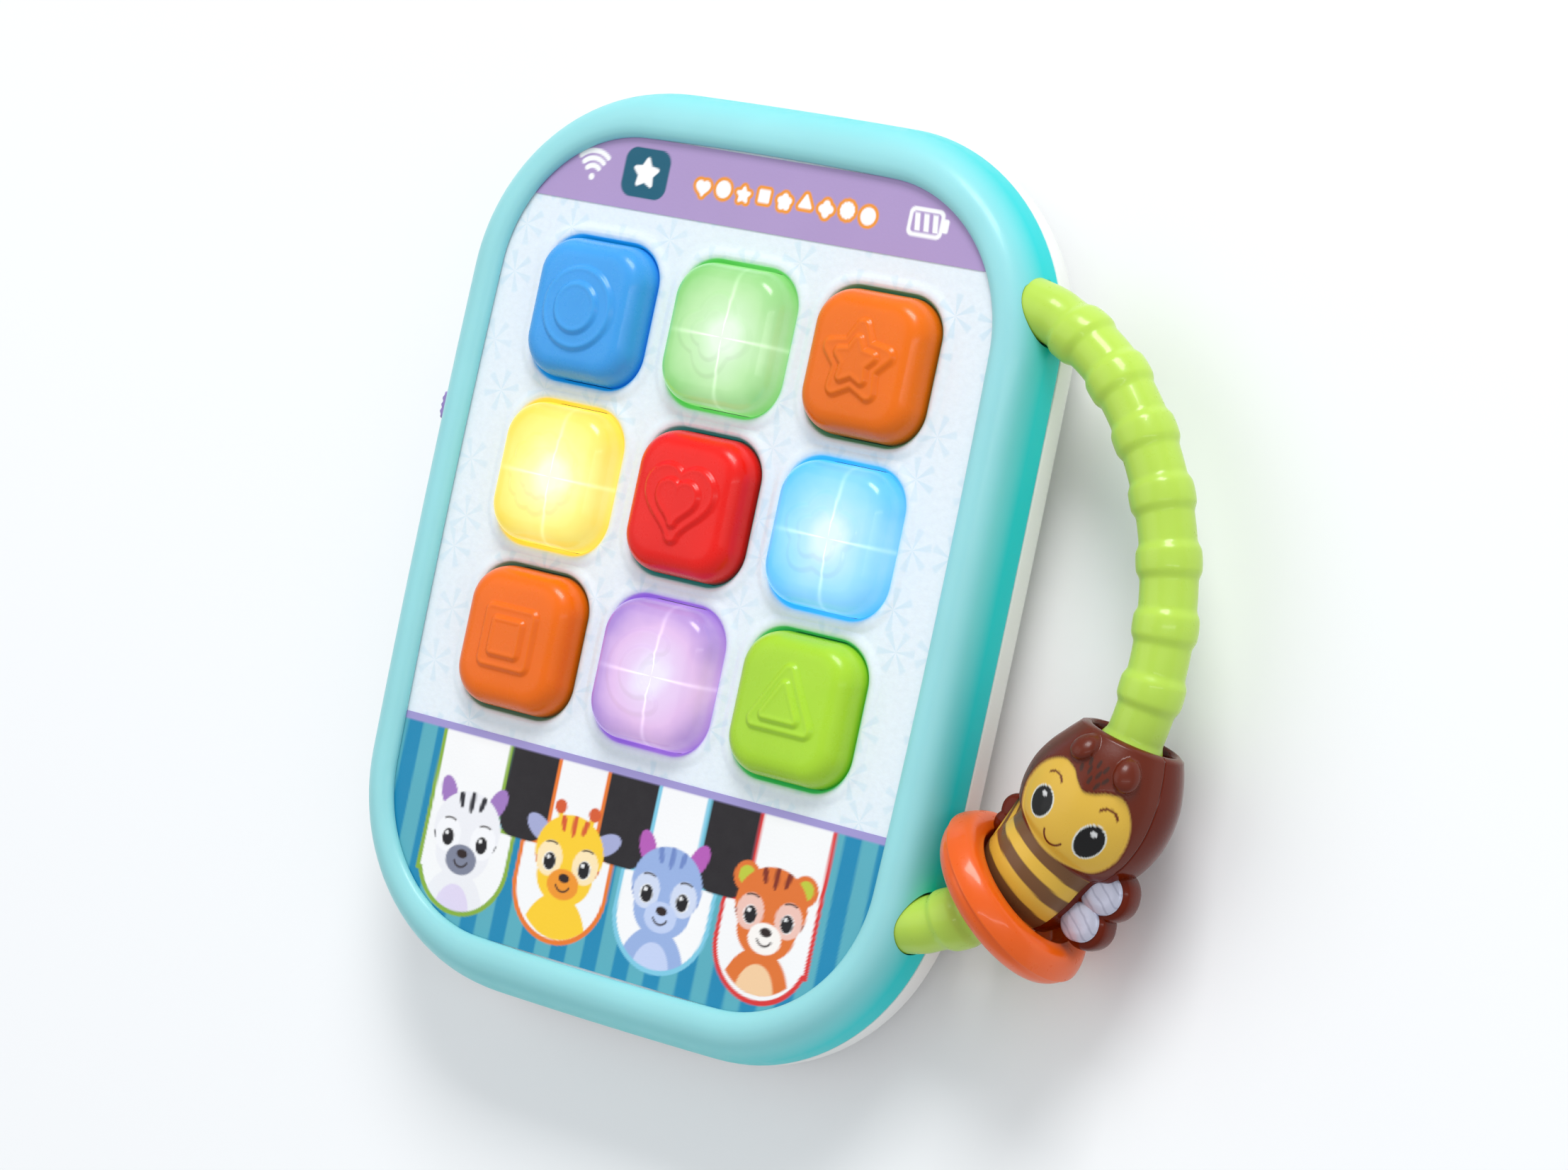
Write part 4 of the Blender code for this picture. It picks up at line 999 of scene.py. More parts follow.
@dataclass
class ButtonCap:
    """One puffy cap with a raised emblem, for the button of its number."""

    number: int
    emblem: Emblem
    colour: Colour
    middle: Colour | None = None
    emblem_size: float = 9.5 * MM
    emblem_rise: float = 0.62 * MM
    inner_share: float = 0.6
    corner_round: float = 2.0 * MM
    half: tuple[float, float] = (14.9 * MM, 15.9 * MM)

    def __post_init__(self) -> None:
        """Lower the emblem on a lit cap, where the real one all but drowns in the light."""
        if self.middle is not None:
            self.emblem_rise *= 0.5

    def place(self) -> tuple[float, float]:
        """Return the cap's centre."""
        return middle_of(f"button_cap_{self.number}")

    def relief(self, points: Array) -> Array:
        """Return the emblem's height: a soft step and a low bead, at its outline and at a smaller copy."""
        outline = self.emblem.outline() * (self.emblem_size - self.corner_round)
        height = np.zeros(points.shape[:-1])
        for scale, rounding in ((1.0, self.corner_round), (self.inner_share, 0.7 * self.corner_round)):
            distance = outline_distance(points, outline * scale) - rounding
            height += 1 - smooth_step(-0.65 * MM, 0.45 * MM, distance)
            height += 0.2 * np.exp(-((distance + 0.9 * MM) / (0.5 * MM)) ** 2)
        return self.emblem_rise * height

    def build(self) -> None:
        """Stack the cap's rings from its foot up its side and over the domed top, and dress it."""
        low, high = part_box(f"button_cap_{self.number}")
        base = low.z + 1.6 * MM
        top = high.z - 1.3 * MM
        side = smooth_path((
            (0.0, base), (0.0, top - 8.0 * MM), (-0.15 * MM, top - 6.0 * MM), (-0.55 * MM, top - 4.1 * MM),
            (-1.3 * MM, top - 2.5 * MM), (-2.5 * MM, top - 1.3 * MM), (-4.1 * MM, top - 0.65 * MM),
            (-6.0 * MM, top - 0.38 * MM)), 4)
        grow = side[:, 0]
        share = np.linspace(1, 0.015, 62)[1:]
        flat = rounded_ring(
            np.concatenate([self.half[0] + grow, (self.half[0] + grow[-1]) * share]),
            np.concatenate([self.half[1] + grow, (self.half[1] + grow[-1]) * share]),
            np.concatenate([8.5 * MM + grow * 0.72, (8.5 * MM + grow[-1] * 0.72) * share]), 0.0, 40, 22)
        dome = top - 0.38 * MM * share**2 - 0.16 * MM * (share**2 - share)
        heights = np.concatenate([side[:, 1], dome])[:, None] + self.relief(flat)
        foot = np.stack([flat[0]] * 2)
        rows = np.concatenate([foot * 0.93, flat])
        heights = np.concatenate([np.full((2, flat.shape[1]), base), heights])
        rows[0] *= 0.5
        grid = np.concatenate([rows + self.place(), heights[..., None]], axis=-1)
        piece = surface(f"cap_{self.number}", grid)
        dress(piece, self.finish(), f"button_{self.number}",
              [f"button_cap_{self.number}"])

    def finish(self) -> bpy.types.Material:
        """Return plain glossy plastic, or lit plastic for the caps with a lamp behind them."""
        if self.middle is None:
            return MouldedPlastic(f"cap_plastic_{self.number}", self.colour, roughness=0.28, grain=0.0,
                                  variation=0.05, coat=0.12, glow_through=0.2).make()
        x, y = self.place()
        lamp = (x + 2.7 * MM, y - 0.4 * MM, 0.0)
        return LitPlastic(f"cap_lit_{self.number}", self.colour, self.middle, lamp).make()


# ---------------------------------------------------------------- printed sheets


@dataclass
class PrintedSheet:
    """A thin laminated print on the panel: a band of the case's window between two heights."""

    case: Case
    low_y: float
    high_y: float
    step: float = 0.29 * MM
    thickness: float = 0.22 * MM

    def half_width(self, y: Array) -> Array:
        """Return how far the sheet reaches to each side, just under the bezel."""
        ring = self.case.rings([0.9 * MM], 60, 60)[0]
        right = ring[ring[:, 0] > 0]
        order = np.argsort(right[:, 1])
        return np.interp(y, right[order, 1], right[order, 0])

    def places(self) -> tuple[Array, Array]:
        """Return the sheet's points: straight rows, each as wide as the window there."""
        rows = int((self.high_y - self.low_y) / self.step)
        y = np.linspace(self.low_y, self.high_y, rows)
        across = np.linspace(-1, 1, int(2 * self.half_width(np.array([self.low_y]))[0] / self.step))
        return across[None] * self.half_width(y)[:, None], np.broadcast_to(y[:, None], (rows, len(across)))

    def solid(self, name: str, x: Array, y: Array, colours: Array) -> bpy.types.Object:
        """Make the sheet: the inked top in small squares, the edges below it and one plain underside."""
        rows, columns = x.shape
        index = np.arange(rows * columns).reshape(rows, columns)
        top = np.stack([x, y, np.full_like(x, self.case.panel_z + self.thickness)], axis=-1).reshape(-1, 3)
        rim = np.concatenate([index[0, :-1], index[:-1, -1], index[-1, :0:-1], index[:0:-1, 0]])
        under = top[rim] - (0.0, 0.0, self.thickness - 0.02 * MM)
        below = len(top) + np.arange(len(rim))
        squares = np.stack([index[:-1, :-1], index[:-1, 1:], index[1:, 1:], index[1:, :-1]], axis=-1)
        squares = squares.reshape(-1, 4)
        edges = np.stack([rim, below, np.roll(below, -1), np.roll(rim, -1)], axis=-1)
        mesh = bpy.data.meshes.new(name)
        mesh.from_pydata(np.vstack([top, under]).tolist(), [],
                         squares.tolist() + edges.tolist() + [below[::-1].tolist()])
        flat = colours.reshape(-1, 3)
        paint_points(mesh, np.vstack([flat, flat[rim]]))
        piece = placed(name, mesh)
        sharpen(piece)
        return piece

    def build(self, name: str, node: str, picture: Callable[[Print], None]) -> None:
        """Print a picture on the sheet and lay it on the panel, over the solid that it stands for."""
        x, y = self.places()
        ink = Print(x, y, (1.0, 1.0, 1.0), soft=0.2 * MM)
        picture(ink)
        piece = self.solid(name, x, y, ink.colours)
        finish = MouldedPlastic(f"{name}_print", (1.0, 1.0, 1.0), roughness=0.42, variation=0.02, grain=0.035,
                                grain_cells=1500.0, inked=True)
        dress(piece, finish.make(), "tablet", [node])


def header_picture(ink: Print) -> None:
    """Lilac band with signal arcs, a starred tile, a row of playful shapes and a battery sign."""
    ink.colours[:] = tone(174, 150, 198)
    white, orange, deep_teal = tone(250, 250, 250), tone(240, 150, 50), tone(20, 92, 116)
    dot = (-46.2 * MM, 80.5 * MM)
    ink.lay(ink.oval(*dot, 0.75 * MM), white)
    for radius in (2.5, 4.2, 5.9):
        ink.lay(ink.arc(*dot, radius * MM, 52, 132, 1.15 * MM), white)
    ink.lay(ink.box(-37.8 * MM, 77.6 * MM, -25.4 * MM, 88.8 * MM, 3.0 * MM), deep_teal)
    ink.lay(ink.shape(Emblem.STAR.outline() * 3.1 * MM + (-31.6 * MM, 83.2 * MM), 0.5 * MM), white)
    row = (Emblem.HEART, Emblem.CIRCLE, Emblem.STAR, Emblem.SQUARE, Emblem.FLOWER,
           Emblem.TRIANGLE, Emblem.CLOVER, Emblem.SUN, Emblem.CIRCLE)
    for place, emblem in enumerate(row):
        spot = ((-15.6 + 5.5 * place) * MM, (82.1 + 0.5 * (place % 2)) * MM)
        outline = emblem.outline() * 1.6 * MM + spot
        ink.lay(ink.shape(outline, 1.15 * MM), orange)
        ink.lay(ink.shape(outline, 0.35 * MM), white)
    ink.lay(ink.box(38.6 * MM, 79.6 * MM, 47.6 * MM, 86.0 * MM, 1.4 * MM), white)
    ink.lay(ink.box(47.4 * MM, 81.2 * MM, 48.9 * MM, 84.2 * MM, 0.5 * MM), white)
    ink.lay(ink.box(39.5 * MM, 80.5 * MM, 46.7 * MM, 85.1 * MM, 0.8 * MM), tone(174, 150, 198))
    bar = np.array([(0.5, 80.9), (1.8, 80.9), (1.2, 84.7), (-0.1, 84.7)])
    for x in (40.1, 42.4, 44.7):
        ink.lay(ink.shape((bar + (x, 0.0)) * MM), white)


@dataclass(frozen=True)
class AnimalFace:
    """A plain round animal's head and shoulders, printed on a piano key."""

    x: float
    y: float
    fur: Colour
    snout: Colour
    ears: Colour
    marks: Colour
    ear_shape: str = "round"
    bib: Colour = (1.0, 1.0, 1.0)

    def draw(self, ink: Print) -> None:
        """Lay body, ears, head, marks, snout, eyes and mouth, one over another."""
        x, y = self.x, self.y
        dark = tone(40, 25, 25)
        body = np.maximum(ink.oval(x, y - 19.5 * MM, 9.0 * MM, 11.5 * MM), -(y - 7.0 * MM - ink.y))
        bowl = ink.oval(x, y - 5.8 * MM, 11.8 * MM, 12.3 * MM)
        ink.lay(np.maximum(body, bowl), self.fur)
        ink.lay(np.maximum(ink.oval(x, y - 18.5 * MM, 5.0 * MM, 7.0 * MM), bowl), self.bib)
        for side in (-1, 1):
            if self.ear_shape == "round":
                ink.lay(ink.oval(x + side * 7.6 * MM, y + 6.2 * MM, 3.4 * MM), self.fur)
                ink.lay(ink.oval(x + side * 7.7 * MM, y + 6.4 * MM, 2.1 * MM), self.ears)
            elif self.ear_shape == "leaf":
                leaf = ink.oval(x + side * 9.2 * MM, y + 5.0 * MM, 2.3 * MM, 4.2 * MM, -side * 60)
                ink.lay(leaf, self.ears)
                ink.lay(ink.stroke([(x + side * 3.6 * MM, y + 6 * MM), (x + side * 4.6 * MM, y + 10.4 * MM)],
                                   1.5 * MM), self.fur)
                ink.lay(ink.oval(x + side * 4.7 * MM, y + 10.8 * MM, 1.6 * MM), self.marks)
            else:
                tall = ink.oval(x + side * 6.9 * MM, y + 8.2 * MM, 2.2 * MM, 3.9 * MM, -side * 24)
                ink.lay(tall, self.ears)
        head = np.minimum(ink.oval(x, y + 1.2 * MM, 9.3 * MM, 8.4 * MM),
                          ink.oval(x, y - 4.0 * MM, 7.6 * MM, 6.6 * MM))
        ink.lay(head, self.fur)
        for spot in (-3.0, 0.0, 3.0):
            height = (2.9 - 0.25 * abs(spot)) * MM
            mark = ink.oval(x + spot * MM, y + 7.6 * MM, 0.7 * MM, height, -spot * 4)
            ink.lay(np.maximum(mark, head), self.marks)
        pale = tuple(0.55 * part + 0.45 for part in self.fur)
        for side in (-1, 1):
            mark = ink.oval(x + side * 9.3 * MM, y - 1.6 * MM, 2.4 * MM, 0.8 * MM, side * 12)
            ink.lay(np.maximum(mark, head), self.marks)
            ink.lay(np.maximum(ink.oval(x + side * 5.0 * MM, y - 0.9 * MM, 3.5 * MM, 4.0 * MM), head), pale)
            ink.lay(ink.oval(x + side * 4.9 * MM, y - 1.6 * MM, 1.75 * MM, 2.1 * MM), tone(250, 250, 250))
            ink.lay(ink.oval(x + side * 4.8 * MM, y - 1.6 * MM, 1.6 * MM, 1.95 * MM), tone(22, 20, 25))
            ink.lay(ink.oval(x + side * 4.8 * MM - 0.5 * MM, y - 0.7 * MM, 0.45 * MM), tone(245, 245, 245))
            ink.lay(ink.arc(x + side * 5.0 * MM, y - 0.6 * MM, 3.4 * MM, 65, 115, 0.4 * MM), dark)
        ink.lay(ink.oval(x, y - 5.9 * MM, 4.3 * MM, 3.4 * MM), self.snout)
        ink.lay(ink.oval(x, y - 4.5 * MM, 1.5 * MM, 1.0 * MM), dark)
        ink.lay(ink.arc(x, y - 5.5 * MM, 2.0 * MM, 205, 335, 0.45 * MM), dark)


def piano_picture(ink: Print) -> None:
    """Blue stripes, four white keys in coloured outlines with a face on each, and three black keys."""
    stripe = np.cos(2 * np.pi * (ink.x - 1.8 * MM) / (8.6 * MM))
    ink.colours[:] = tone(20, 135, 178)
    ink.lay(-stripe * 0.9 * MM, tone(88, 172, 188))
    keys = ((-54.4, -34.2, -54.4, -28.9, tone(135, 175, 60)), (-21.4, -6.8, -27.2, -1.2, tone(235, 120, 40)),
            (6.2, 20.6, 0.9, 26.8, tone(125, 200, 225)), (33.6, 53.6, 28.2, 53.6, tone(220, 50, 50)))
    rims = []
    for top_left, top_right, left, right, rim in keys:
        radius = (right - left) / 2 * MM
        centre = (left + right) / 2 * MM
        bowl = ink.box(left * MM, -88.0 * MM, right * MM, -66.2 * MM, 1.5 * MM)
        round_end = np.hypot(ink.x - centre, ink.y + 88.0 * MM - radius) - radius
        bowl = np.where(ink.y < -88.0 * MM + radius, round_end, bowl)
        key = np.minimum(ink.box(top_left * MM, -80.0 * MM, top_right * MM, -40.0 * MM), bowl)
        ink.lay(key, rim)
        ink.lay(key + 1.05 * MM, tone(246, 246, 246))
        rims.append((np.maximum(np.abs(key + 0.52 * MM) - 0.52 * MM, ink.y + 75 * MM), rim))
    for left, right in ((-34.3, -21.3), (-6.9, 6.3), (20.7, 33.7)):
        ink.lay(ink.box(left * MM, -67.3 * MM, right * MM, -30.0 * MM, 4.2 * MM), tone(34, 30, 34))
    for face in (AnimalFace(-42.4 * MM, -69.6 * MM, fur=tone(238, 238, 242), snout=tone(125, 130, 150),
                            ears=tone(160, 120, 190), marks=tone(40, 40, 48), ear_shape="tall",
                            bib=tone(225, 215, 240)),
                 AnimalFace(-13.6 * MM, -68.6 * MM, fur=tone(250, 205, 45), snout=tone(240, 150, 40),
                            ears=tone(165, 170, 210), marks=tone(215, 90, 45), ear_shape="leaf",
                            bib=tone(250, 205, 45)),
                 AnimalFace(13.6 * MM, -69.6 * MM, fur=tone(150, 175, 222), snout=tone(190, 205, 238),
                            ears=tone(180, 90, 180), marks=tone(110, 135, 195), ear_shape="tall",
                            bib=tone(195, 208, 240)),
                 AnimalFace(41.0 * MM, -67.8 * MM, fur=tone(225, 115, 45), snout=tone(250, 245, 240),
                            ears=tone(190, 200, 60), marks=tone(130, 45, 25), bib=tone(245, 205, 160))):
        face.draw(ink)
    for distance, rim in rims:
        ink.lay(distance, rim)
    ink.lay(-47.7 * MM - ink.y, tone(160, 150, 206))


# ---------------------------------------------------------------- handle, ring and bee


@dataclass
class Handle:
    """The ridged lime tube with a thinner spigot in each socket."""

    arc: HandleArc
    valley: float = 6.1 * MM
    ridge: float = 6.95 * MM
    pitch: float = 10.15
    reach: float = 64.0

    def radius(self, angle: Array) -> Array:
        """Return the tube's radius: barrel-shaped ridges between narrower necks, plain at both ends."""
        wave = -np.cos(2 * np.pi * angle / self.pitch)
        swell = smooth_step(-0.35, 0.7, wave) * (1 + 0.25 * (wave - 1))
        plain = smooth_step(self.reach - 4.5, self.reach - 1.5, np.abs(angle))
        return self.valley + (self.ridge - self.valley) * (swell * (1 - plain) + 0.35 * plain)

    def build(self) -> None:
        """Sweep the section along the arc."""
        angle = np.linspace(-self.reach, self.reach, 420)
        radius = self.radius(angle)
        angle = np.concatenate([[-self.reach - 4.6], angle, [self.reach + 4.6]])
        radius = np.concatenate([radius[:1], radius, radius[-1:]])
        turn = np.arange(72) * 360 / 72
        piece = surface("ridged_tube", self.arc.points(angle[:, None], turn[None], radius[:, None]))
        sharpen(piece, 60)
        lime = MouldedPlastic("lime_moulded", tone(182, 216, 80), roughness=0.3, grain=0.008, variation=0.05,
                              coat=0.3, glow_through=0.25)
        dress(piece, lime.make(), "tablet", ["handle_tube"])


@dataclass
class SlideRing:
    """The orange ring with its parting line and the shallow cup for the bee's foot."""

    arc: HandleArc
    angle: float = -45.0
    radius: float = 20.5 * MM
    half_thick: float = 4.7 * MM
    hang: float = 0.9 * MM

    def section(self) -> Array:
        """Return the ring's section as (radius, place along the tube), all the way round."""
        r, h = self.radius, self.half_thick
        outer = smooth_path((
            (9.3 * MM, -h + 0.2 * MM), (11.8 * MM, -h), (r - 4.4 * MM, -h), (r - 2.0 * MM, -h * 0.82),
            (r - 0.6 * MM, -h * 0.42), (r - 0.25 * MM, -0.32 * MM)), 6)
        rim = smooth_path((
            (r + 0.15 * MM, -0.12 * MM), (r + 0.15 * MM, 0.3 * MM), (r - 0.55 * MM, h * 0.42),
            (r - 1.9 * MM, h * 0.84), (r - 3.4 * MM, h), (14.6 * MM, h * 0.97), (13.7 * MM, h * 0.8),
            (13.1 * MM, 0.9 * MM), (12.6 * MM, -0.5 * MM), (11.6 * MM, -0.9 * MM)), 6)
        bore = np.array([(9.2 * MM, -0.9 * MM), (8.6 * MM, -1.3 * MM), (8.6 * MM, -h + 0.9 * MM)])
        return np.vstack([outer, rim, bore])

    def build(self) -> None:
        """Turn the section about the tube's axis at the ring's place."""
        section = self.section()
        turn = np.radians(np.arange(144) * 2.5)[None, :]
        angle = np.radians(self.angle)
        outward = np.array([np.cos(angle), np.sin(angle), 0.0])
        along = np.array([-np.sin(angle), np.cos(angle), 0.0])
        centre = np.array(self.arc.centre) + outward * (self.arc.radius + self.hang)
        radius, shift = section[:, 0][:, None, None], section[:, 1][:, None, None]
        grid = (centre + outward * (radius * np.cos(turn)[..., None]) + along * shift
                + np.array([0, 0, 1.0]) * (radius * np.sin(turn)[..., None]))
        piece = surface("orange_ring", grid, wrap_rows=True)
        sharpen(piece, 50)
        orange = MouldedPlastic("orange_moulded", tone(230, 94, 10), grain=0.008, variation=0.04,
                                coat=0.3, glow_through=0.3)
        dress(piece, orange.make(), "ring", ["slide_ring"])


@dataclass
class Bee:
    """The bee in two half shells round the tube, its printed front, and a wing on each side.

    A station is (arc angle, half width across the tablet, half width upwards), in degrees and
    millimetres. The face is drawn on its own axes: across, from the face's middle line round the body
    towards the tablet, and up, along the tube from the eyes.
    """

    arc: HandleArc
    eye_angle: float = -27.0
    middle_turn: float = 81.0
    bore: float = 7.6
    turn_length: float = 0.262 * MM
    angle_length: float = 1.335 * MM
    stations: tuple[tuple[float, float, float], ...] = (
        (-43.6, 10.9, 10.9), (-41.5, 11.8, 11.9), (-38.0, 12.1, 12.4), (-34.5, 11.9, 12.2),
        (-32.4, 12.3, 12.4), (-30.6, 14.3, 13.6), (-27.5, 15.7, 14.5), (-23.5, 16.0, 14.9),
        (-19.5, 14.9, 14.2), (-16.0, 12.9, 12.6), (-13.2, 10.9, 10.8))

    def wall(self, start: float, end: float, turns: int) -> tuple[Array, Array, Array]:
        """Return a part-round wall as points, with each point's face coordinates.

        Each row is one turn about the tube and runs round the wall's section: up the outside, over the
        hood's rim, down the hood's hollow to the bore and back.
        """
        path = smooth_path(self.stations, 14)
        low, high, bore = self.stations[0][0], self.stations[-1][0], self.bore
        rim = np.array([(high + 0.4, 10.3, 10.2), (high + 0.4, 9.6, 9.5), (high - 0.2, 9.0, 8.9),
                        (high - 3.0, 9.6, 9.5), (high - 6.5, 9.4, 9.3), (high - 7.2, bore, bore),
                        (low, bore, bore)])
        angle, across, up = np.vstack([path, rim]).T * np.array([[1.0], [MM], [MM]])
        turn = np.linspace(start, end, turns)[:, None]
        w = (turn - self.middle_turn) * self.turn_length + 0 * angle[None]
        v = (angle[None] - self.eye_angle) * self.angle_length + 0 * turn
        outside = np.arange(len(angle))[None] < len(path)
        rise = np.where(outside, self.relief(w, v), 0.0)
        points = self.arc.points(angle[None], turn, across[None] + rise, up[None] + rise)
        return points, w, np.where(outside, v, 40 * MM)

    def face_distance(self, w: Array, v: Array) -> Array:
        """Return the distance to the face's edge: a round chin and two lobes with a dip between."""
        outline = smooth_path((
            (0.0, 7.3), (2.3, 8.5), (4.4, 10.0), (8.0, 10.3), (11.4, 7.6), (13.1, 3.2), (13.3, -1.4),
            (11.4, -5.4), (6.6, -7.0), (0.0, -7.6), (-6.6, -7.0), (-11.6, -5.2), (-13.4, -1.4),
            (-12.9, 3.2), (-11.0, 7.2), (-8.0, 9.7), (-4.6, 9.3), (-2.3, 8.0)), 6, closed=True)
        return outline_distance(np.stack([w, v], axis=-1), outline * MM)

    def relief(self, w: Array, v: Array) -> Array:
        """Return how far the surface stands out: the hood round the face and the two antenna knobs."""
        near = np.abs(w) < 22 * MM
        edge = np.full(w.shape, 5 * MM)
        edge[near] = self.face_distance(w[near], v[near])
        hood = smooth_step(-0.25 * MM, 0.45 * MM, edge) * smooth_step(-7.5 * MM, -5.5 * MM, v)
        rise = 0.5 * MM * hood
        for side, place in ((5.4 * MM, 15.0 * MM), (-6.6 * MM, 14.0 * MM)):
            away = np.hypot(w - side, v - place) / (3.1 * MM)
            rise = rise + 2.3 * MM * np.sqrt(np.clip(1 - away**2, 0, 1)) ** 0.8
        return rise

    def picture(self, ink: Print) -> None:
        """Paint the front: striped body, yellow face, brown hood, eyes with a painted highlight, brows, smile
        and forehead seeds.
        """
        yellow, brown = tone(220, 178, 66), tone(98, 30, 4)
        stripes = tone(112, 76, 44)
        ink.colours[:] = yellow
        for place in (-9.0, -14.5, -20.3):
            ink.lay(np.abs(ink.y - place * MM - 0.35 * MM * np.cos(ink.x / (8 * MM))) - 1.45 * MM, stripes)
        ink.lay(-7.6 * MM - ink.y, brown)
        edge = self.face_distance(ink.x, ink.y)
        ink.lay(edge - 0.25 * MM, tone(170, 130, 60))
        ink.lay(edge, yellow)
        for side in (-1, 1):
            x, y = side * 6.6 * MM, -0.2 * MM
            ink.lay(ink.oval(x, y, 3.15 * MM, 3.75 * MM), tone(222, 226, 220))
            ink.lay(ink.oval(x, y, 2.85 * MM, 3.45 * MM), tone(12, 11, 12))
            # painted highlight: a small grey spot at the top of each eye stands in for a reflection on the
            # glossy eye
            ink.lay(ink.oval(x + 0.2 * MM, y + 1.8 * MM, 0.75 * MM, 0.5 * MM), tone(215, 215, 215))
            ink.lay(ink.arc(x + side * 0.3 * MM, y + 4.9 * MM, 2.4 * MM, 35, 145, 0.55 * MM), brown)
        ink.lay(ink.arc(0.0, -3.2 * MM, 2.6 * MM, 200, 340, 0.5 * MM), brown)
        seeds = ((0.0, 13.4), (-2.0, 13.1), (2.0, 13.1), (-1.1, 11.6), (1.1, 11.6), (-3.0, 11.2), (3.0, 11.2),
                 (0.0, 9.9), (-1.9, 9.6))
        for x, y in seeds:
            ink.lay(ink.oval(x * MM, y * MM, 0.42 * MM, 0.95 * MM, -x * 9), tone(62, 32, 22))

    def front(self) -> None:
        """Make the printed front half."""
        points, w, v = self.wall(21.0, 159.0, 160)
        ink = Print(w, v, (1.0, 1.0, 1.0), soft=0.1 * MM)
        self.picture(ink)
        piece = surface("bee_printed_front", points, ink=ink.colours)
        finish = MouldedPlastic("bee_front_print", (1.0, 1.0, 1.0), variation=0.03, grain_cells=1800.0,
                                coat=0.1, inked=True)
        dress(piece, finish.make(), "bee", ["bee_front"])

    def back(self, brown: bpy.types.Material) -> None:
        """Make the brown back half with the rest of the hood."""
        points, _, _ = self.wall(159.6, 380.4, 150)
        dress(surface("bee_back_half", points), brown, "bee", ["bee_back"])

    def wing(self, name: str, side: int, lobes: Sequence[tuple[float, float, float]]) -> bpy.types.Object:
        """Make a wing from lobes given as (arc angle, reach from the tube, radius in millimetres)."""
        section = smooth_path(((0.05, -4.4), (0.7, -4.4), (0.93, -3.7), (1.0, -2.0), (1.0, 0.2), (0.93, 1.5),
                               (0.75, 2.15), (0.4, 2.5), (0.05, 2.6)), 4)
        piece = None
        for angle, reach, radius in lobes:
            place = self.arc.points(np.array(angle), np.array(0.0), np.array(side * reach * MM))
            rings = rounded_ring(section[:, 0] * radius * MM, section[:, 0] * radius * 1.06 * MM,
                                 section[:, 0] * radius * 0.98 * MM, 0.0, 12, 2) + place[:2]
            lobe = surface(f"{name}_lobe", lift(rings, place[2] + section[:, 1] * MM))
            if piece is None:
                piece = lobe
            else:
                carve(piece, lobe, 'UNION')
        piece.name = name
        sharpen(piece, 50)
        return piece

    def wings(self, brown: bpy.types.Material) -> None:
        """Make both wings and the veined silver inlays on the outer one."""
        outer = self.wing("outer_wing_pair", 1, ((-32.6, 14.8, 5.4), (-37.6, 16.0, 5.0), (-35.4, 13.0, 4.2)))
        dress(outer, brown, "bee", ["wing_outer"])
        inner = self.wing("inner_wing_pair", -1, ((-35.8, 12.8, 3.6), (-39.0, 12.2, 3.0), (-37.2, 11.4, 3.0)))
        dress(inner, brown, "bee", ["wing_inner"])
        silver = self.silver()
        for number, (angle, reach, radius) in enumerate(((-32.9, 14.1, 4.8), (-37.7, 15.1, 4.45)), 1):
            place = self.arc.points(np.array(angle), np.array(0.0), np.array(reach * MM))
            size = np.array([0.02, 0.5, 0.9, 1.0, 1.0, 0.9, 0.5, 0.02]) * radius * MM
            heights = place[2] + np.array([1.2, 1.2, 1.2, 1.3, 2.55, 2.85, 2.95, 3.0]) * MM
            rings = rounded_ring(size, size * 0.92, size * 0.9, 0.0, 14, 2) + place[:2]
            dress(surface(f"wing_inlay_{number}", lift(rings, heights)), silver, "bee")

    def silver(self) -> bpy.types.Material:
        """Return a pale silvery plastic with leaf veins."""
        sketch = NodeSketch("wing_inlay_silver")
        shader = sketch.shader
        veins = sketch.add("ShaderNodeTexWave", wave_type='BANDS', bands_direction='DIAGONAL')
        sketch.join(sketch.place, veins.inputs["Vector"])
        veins.inputs["Scale"].default_value = 190.0
        veins.inputs["Distortion"].default_value = 2.2
        share = sketch.remap(veins.outputs["Fac"], 0.5, 1.0, 0.0, 0.18)
        sketch.join(sketch.mix(share, tone(140, 142, 164), tone(194, 196, 214)), shader.inputs["Base Color"])
        sketch.join(sketch.remap(sketch.noise(900.0), 0.25, 0.4), shader.inputs["Roughness"])
        shader.inputs["Metallic"].default_value = 0.4
        sketch.bump(veins.outputs["Fac"], 0.00004, 0.3)
        sketch.bump(sketch.noise(1500.0), 0.00004, 0.6)
        return sketch.material

    def build(self) -> None:
        """Make every piece of the bee."""
        brown = MouldedPlastic("bee_brown_gloss", tone(96, 24, 0), shine=0.16, roughness=0.16, grain=0.0,
                               variation=0.06, coat=0.1).make()
        self.front()
        self.back(brown)
        self.wings(brown)


# ---------------------------------------------------------------- small pieces


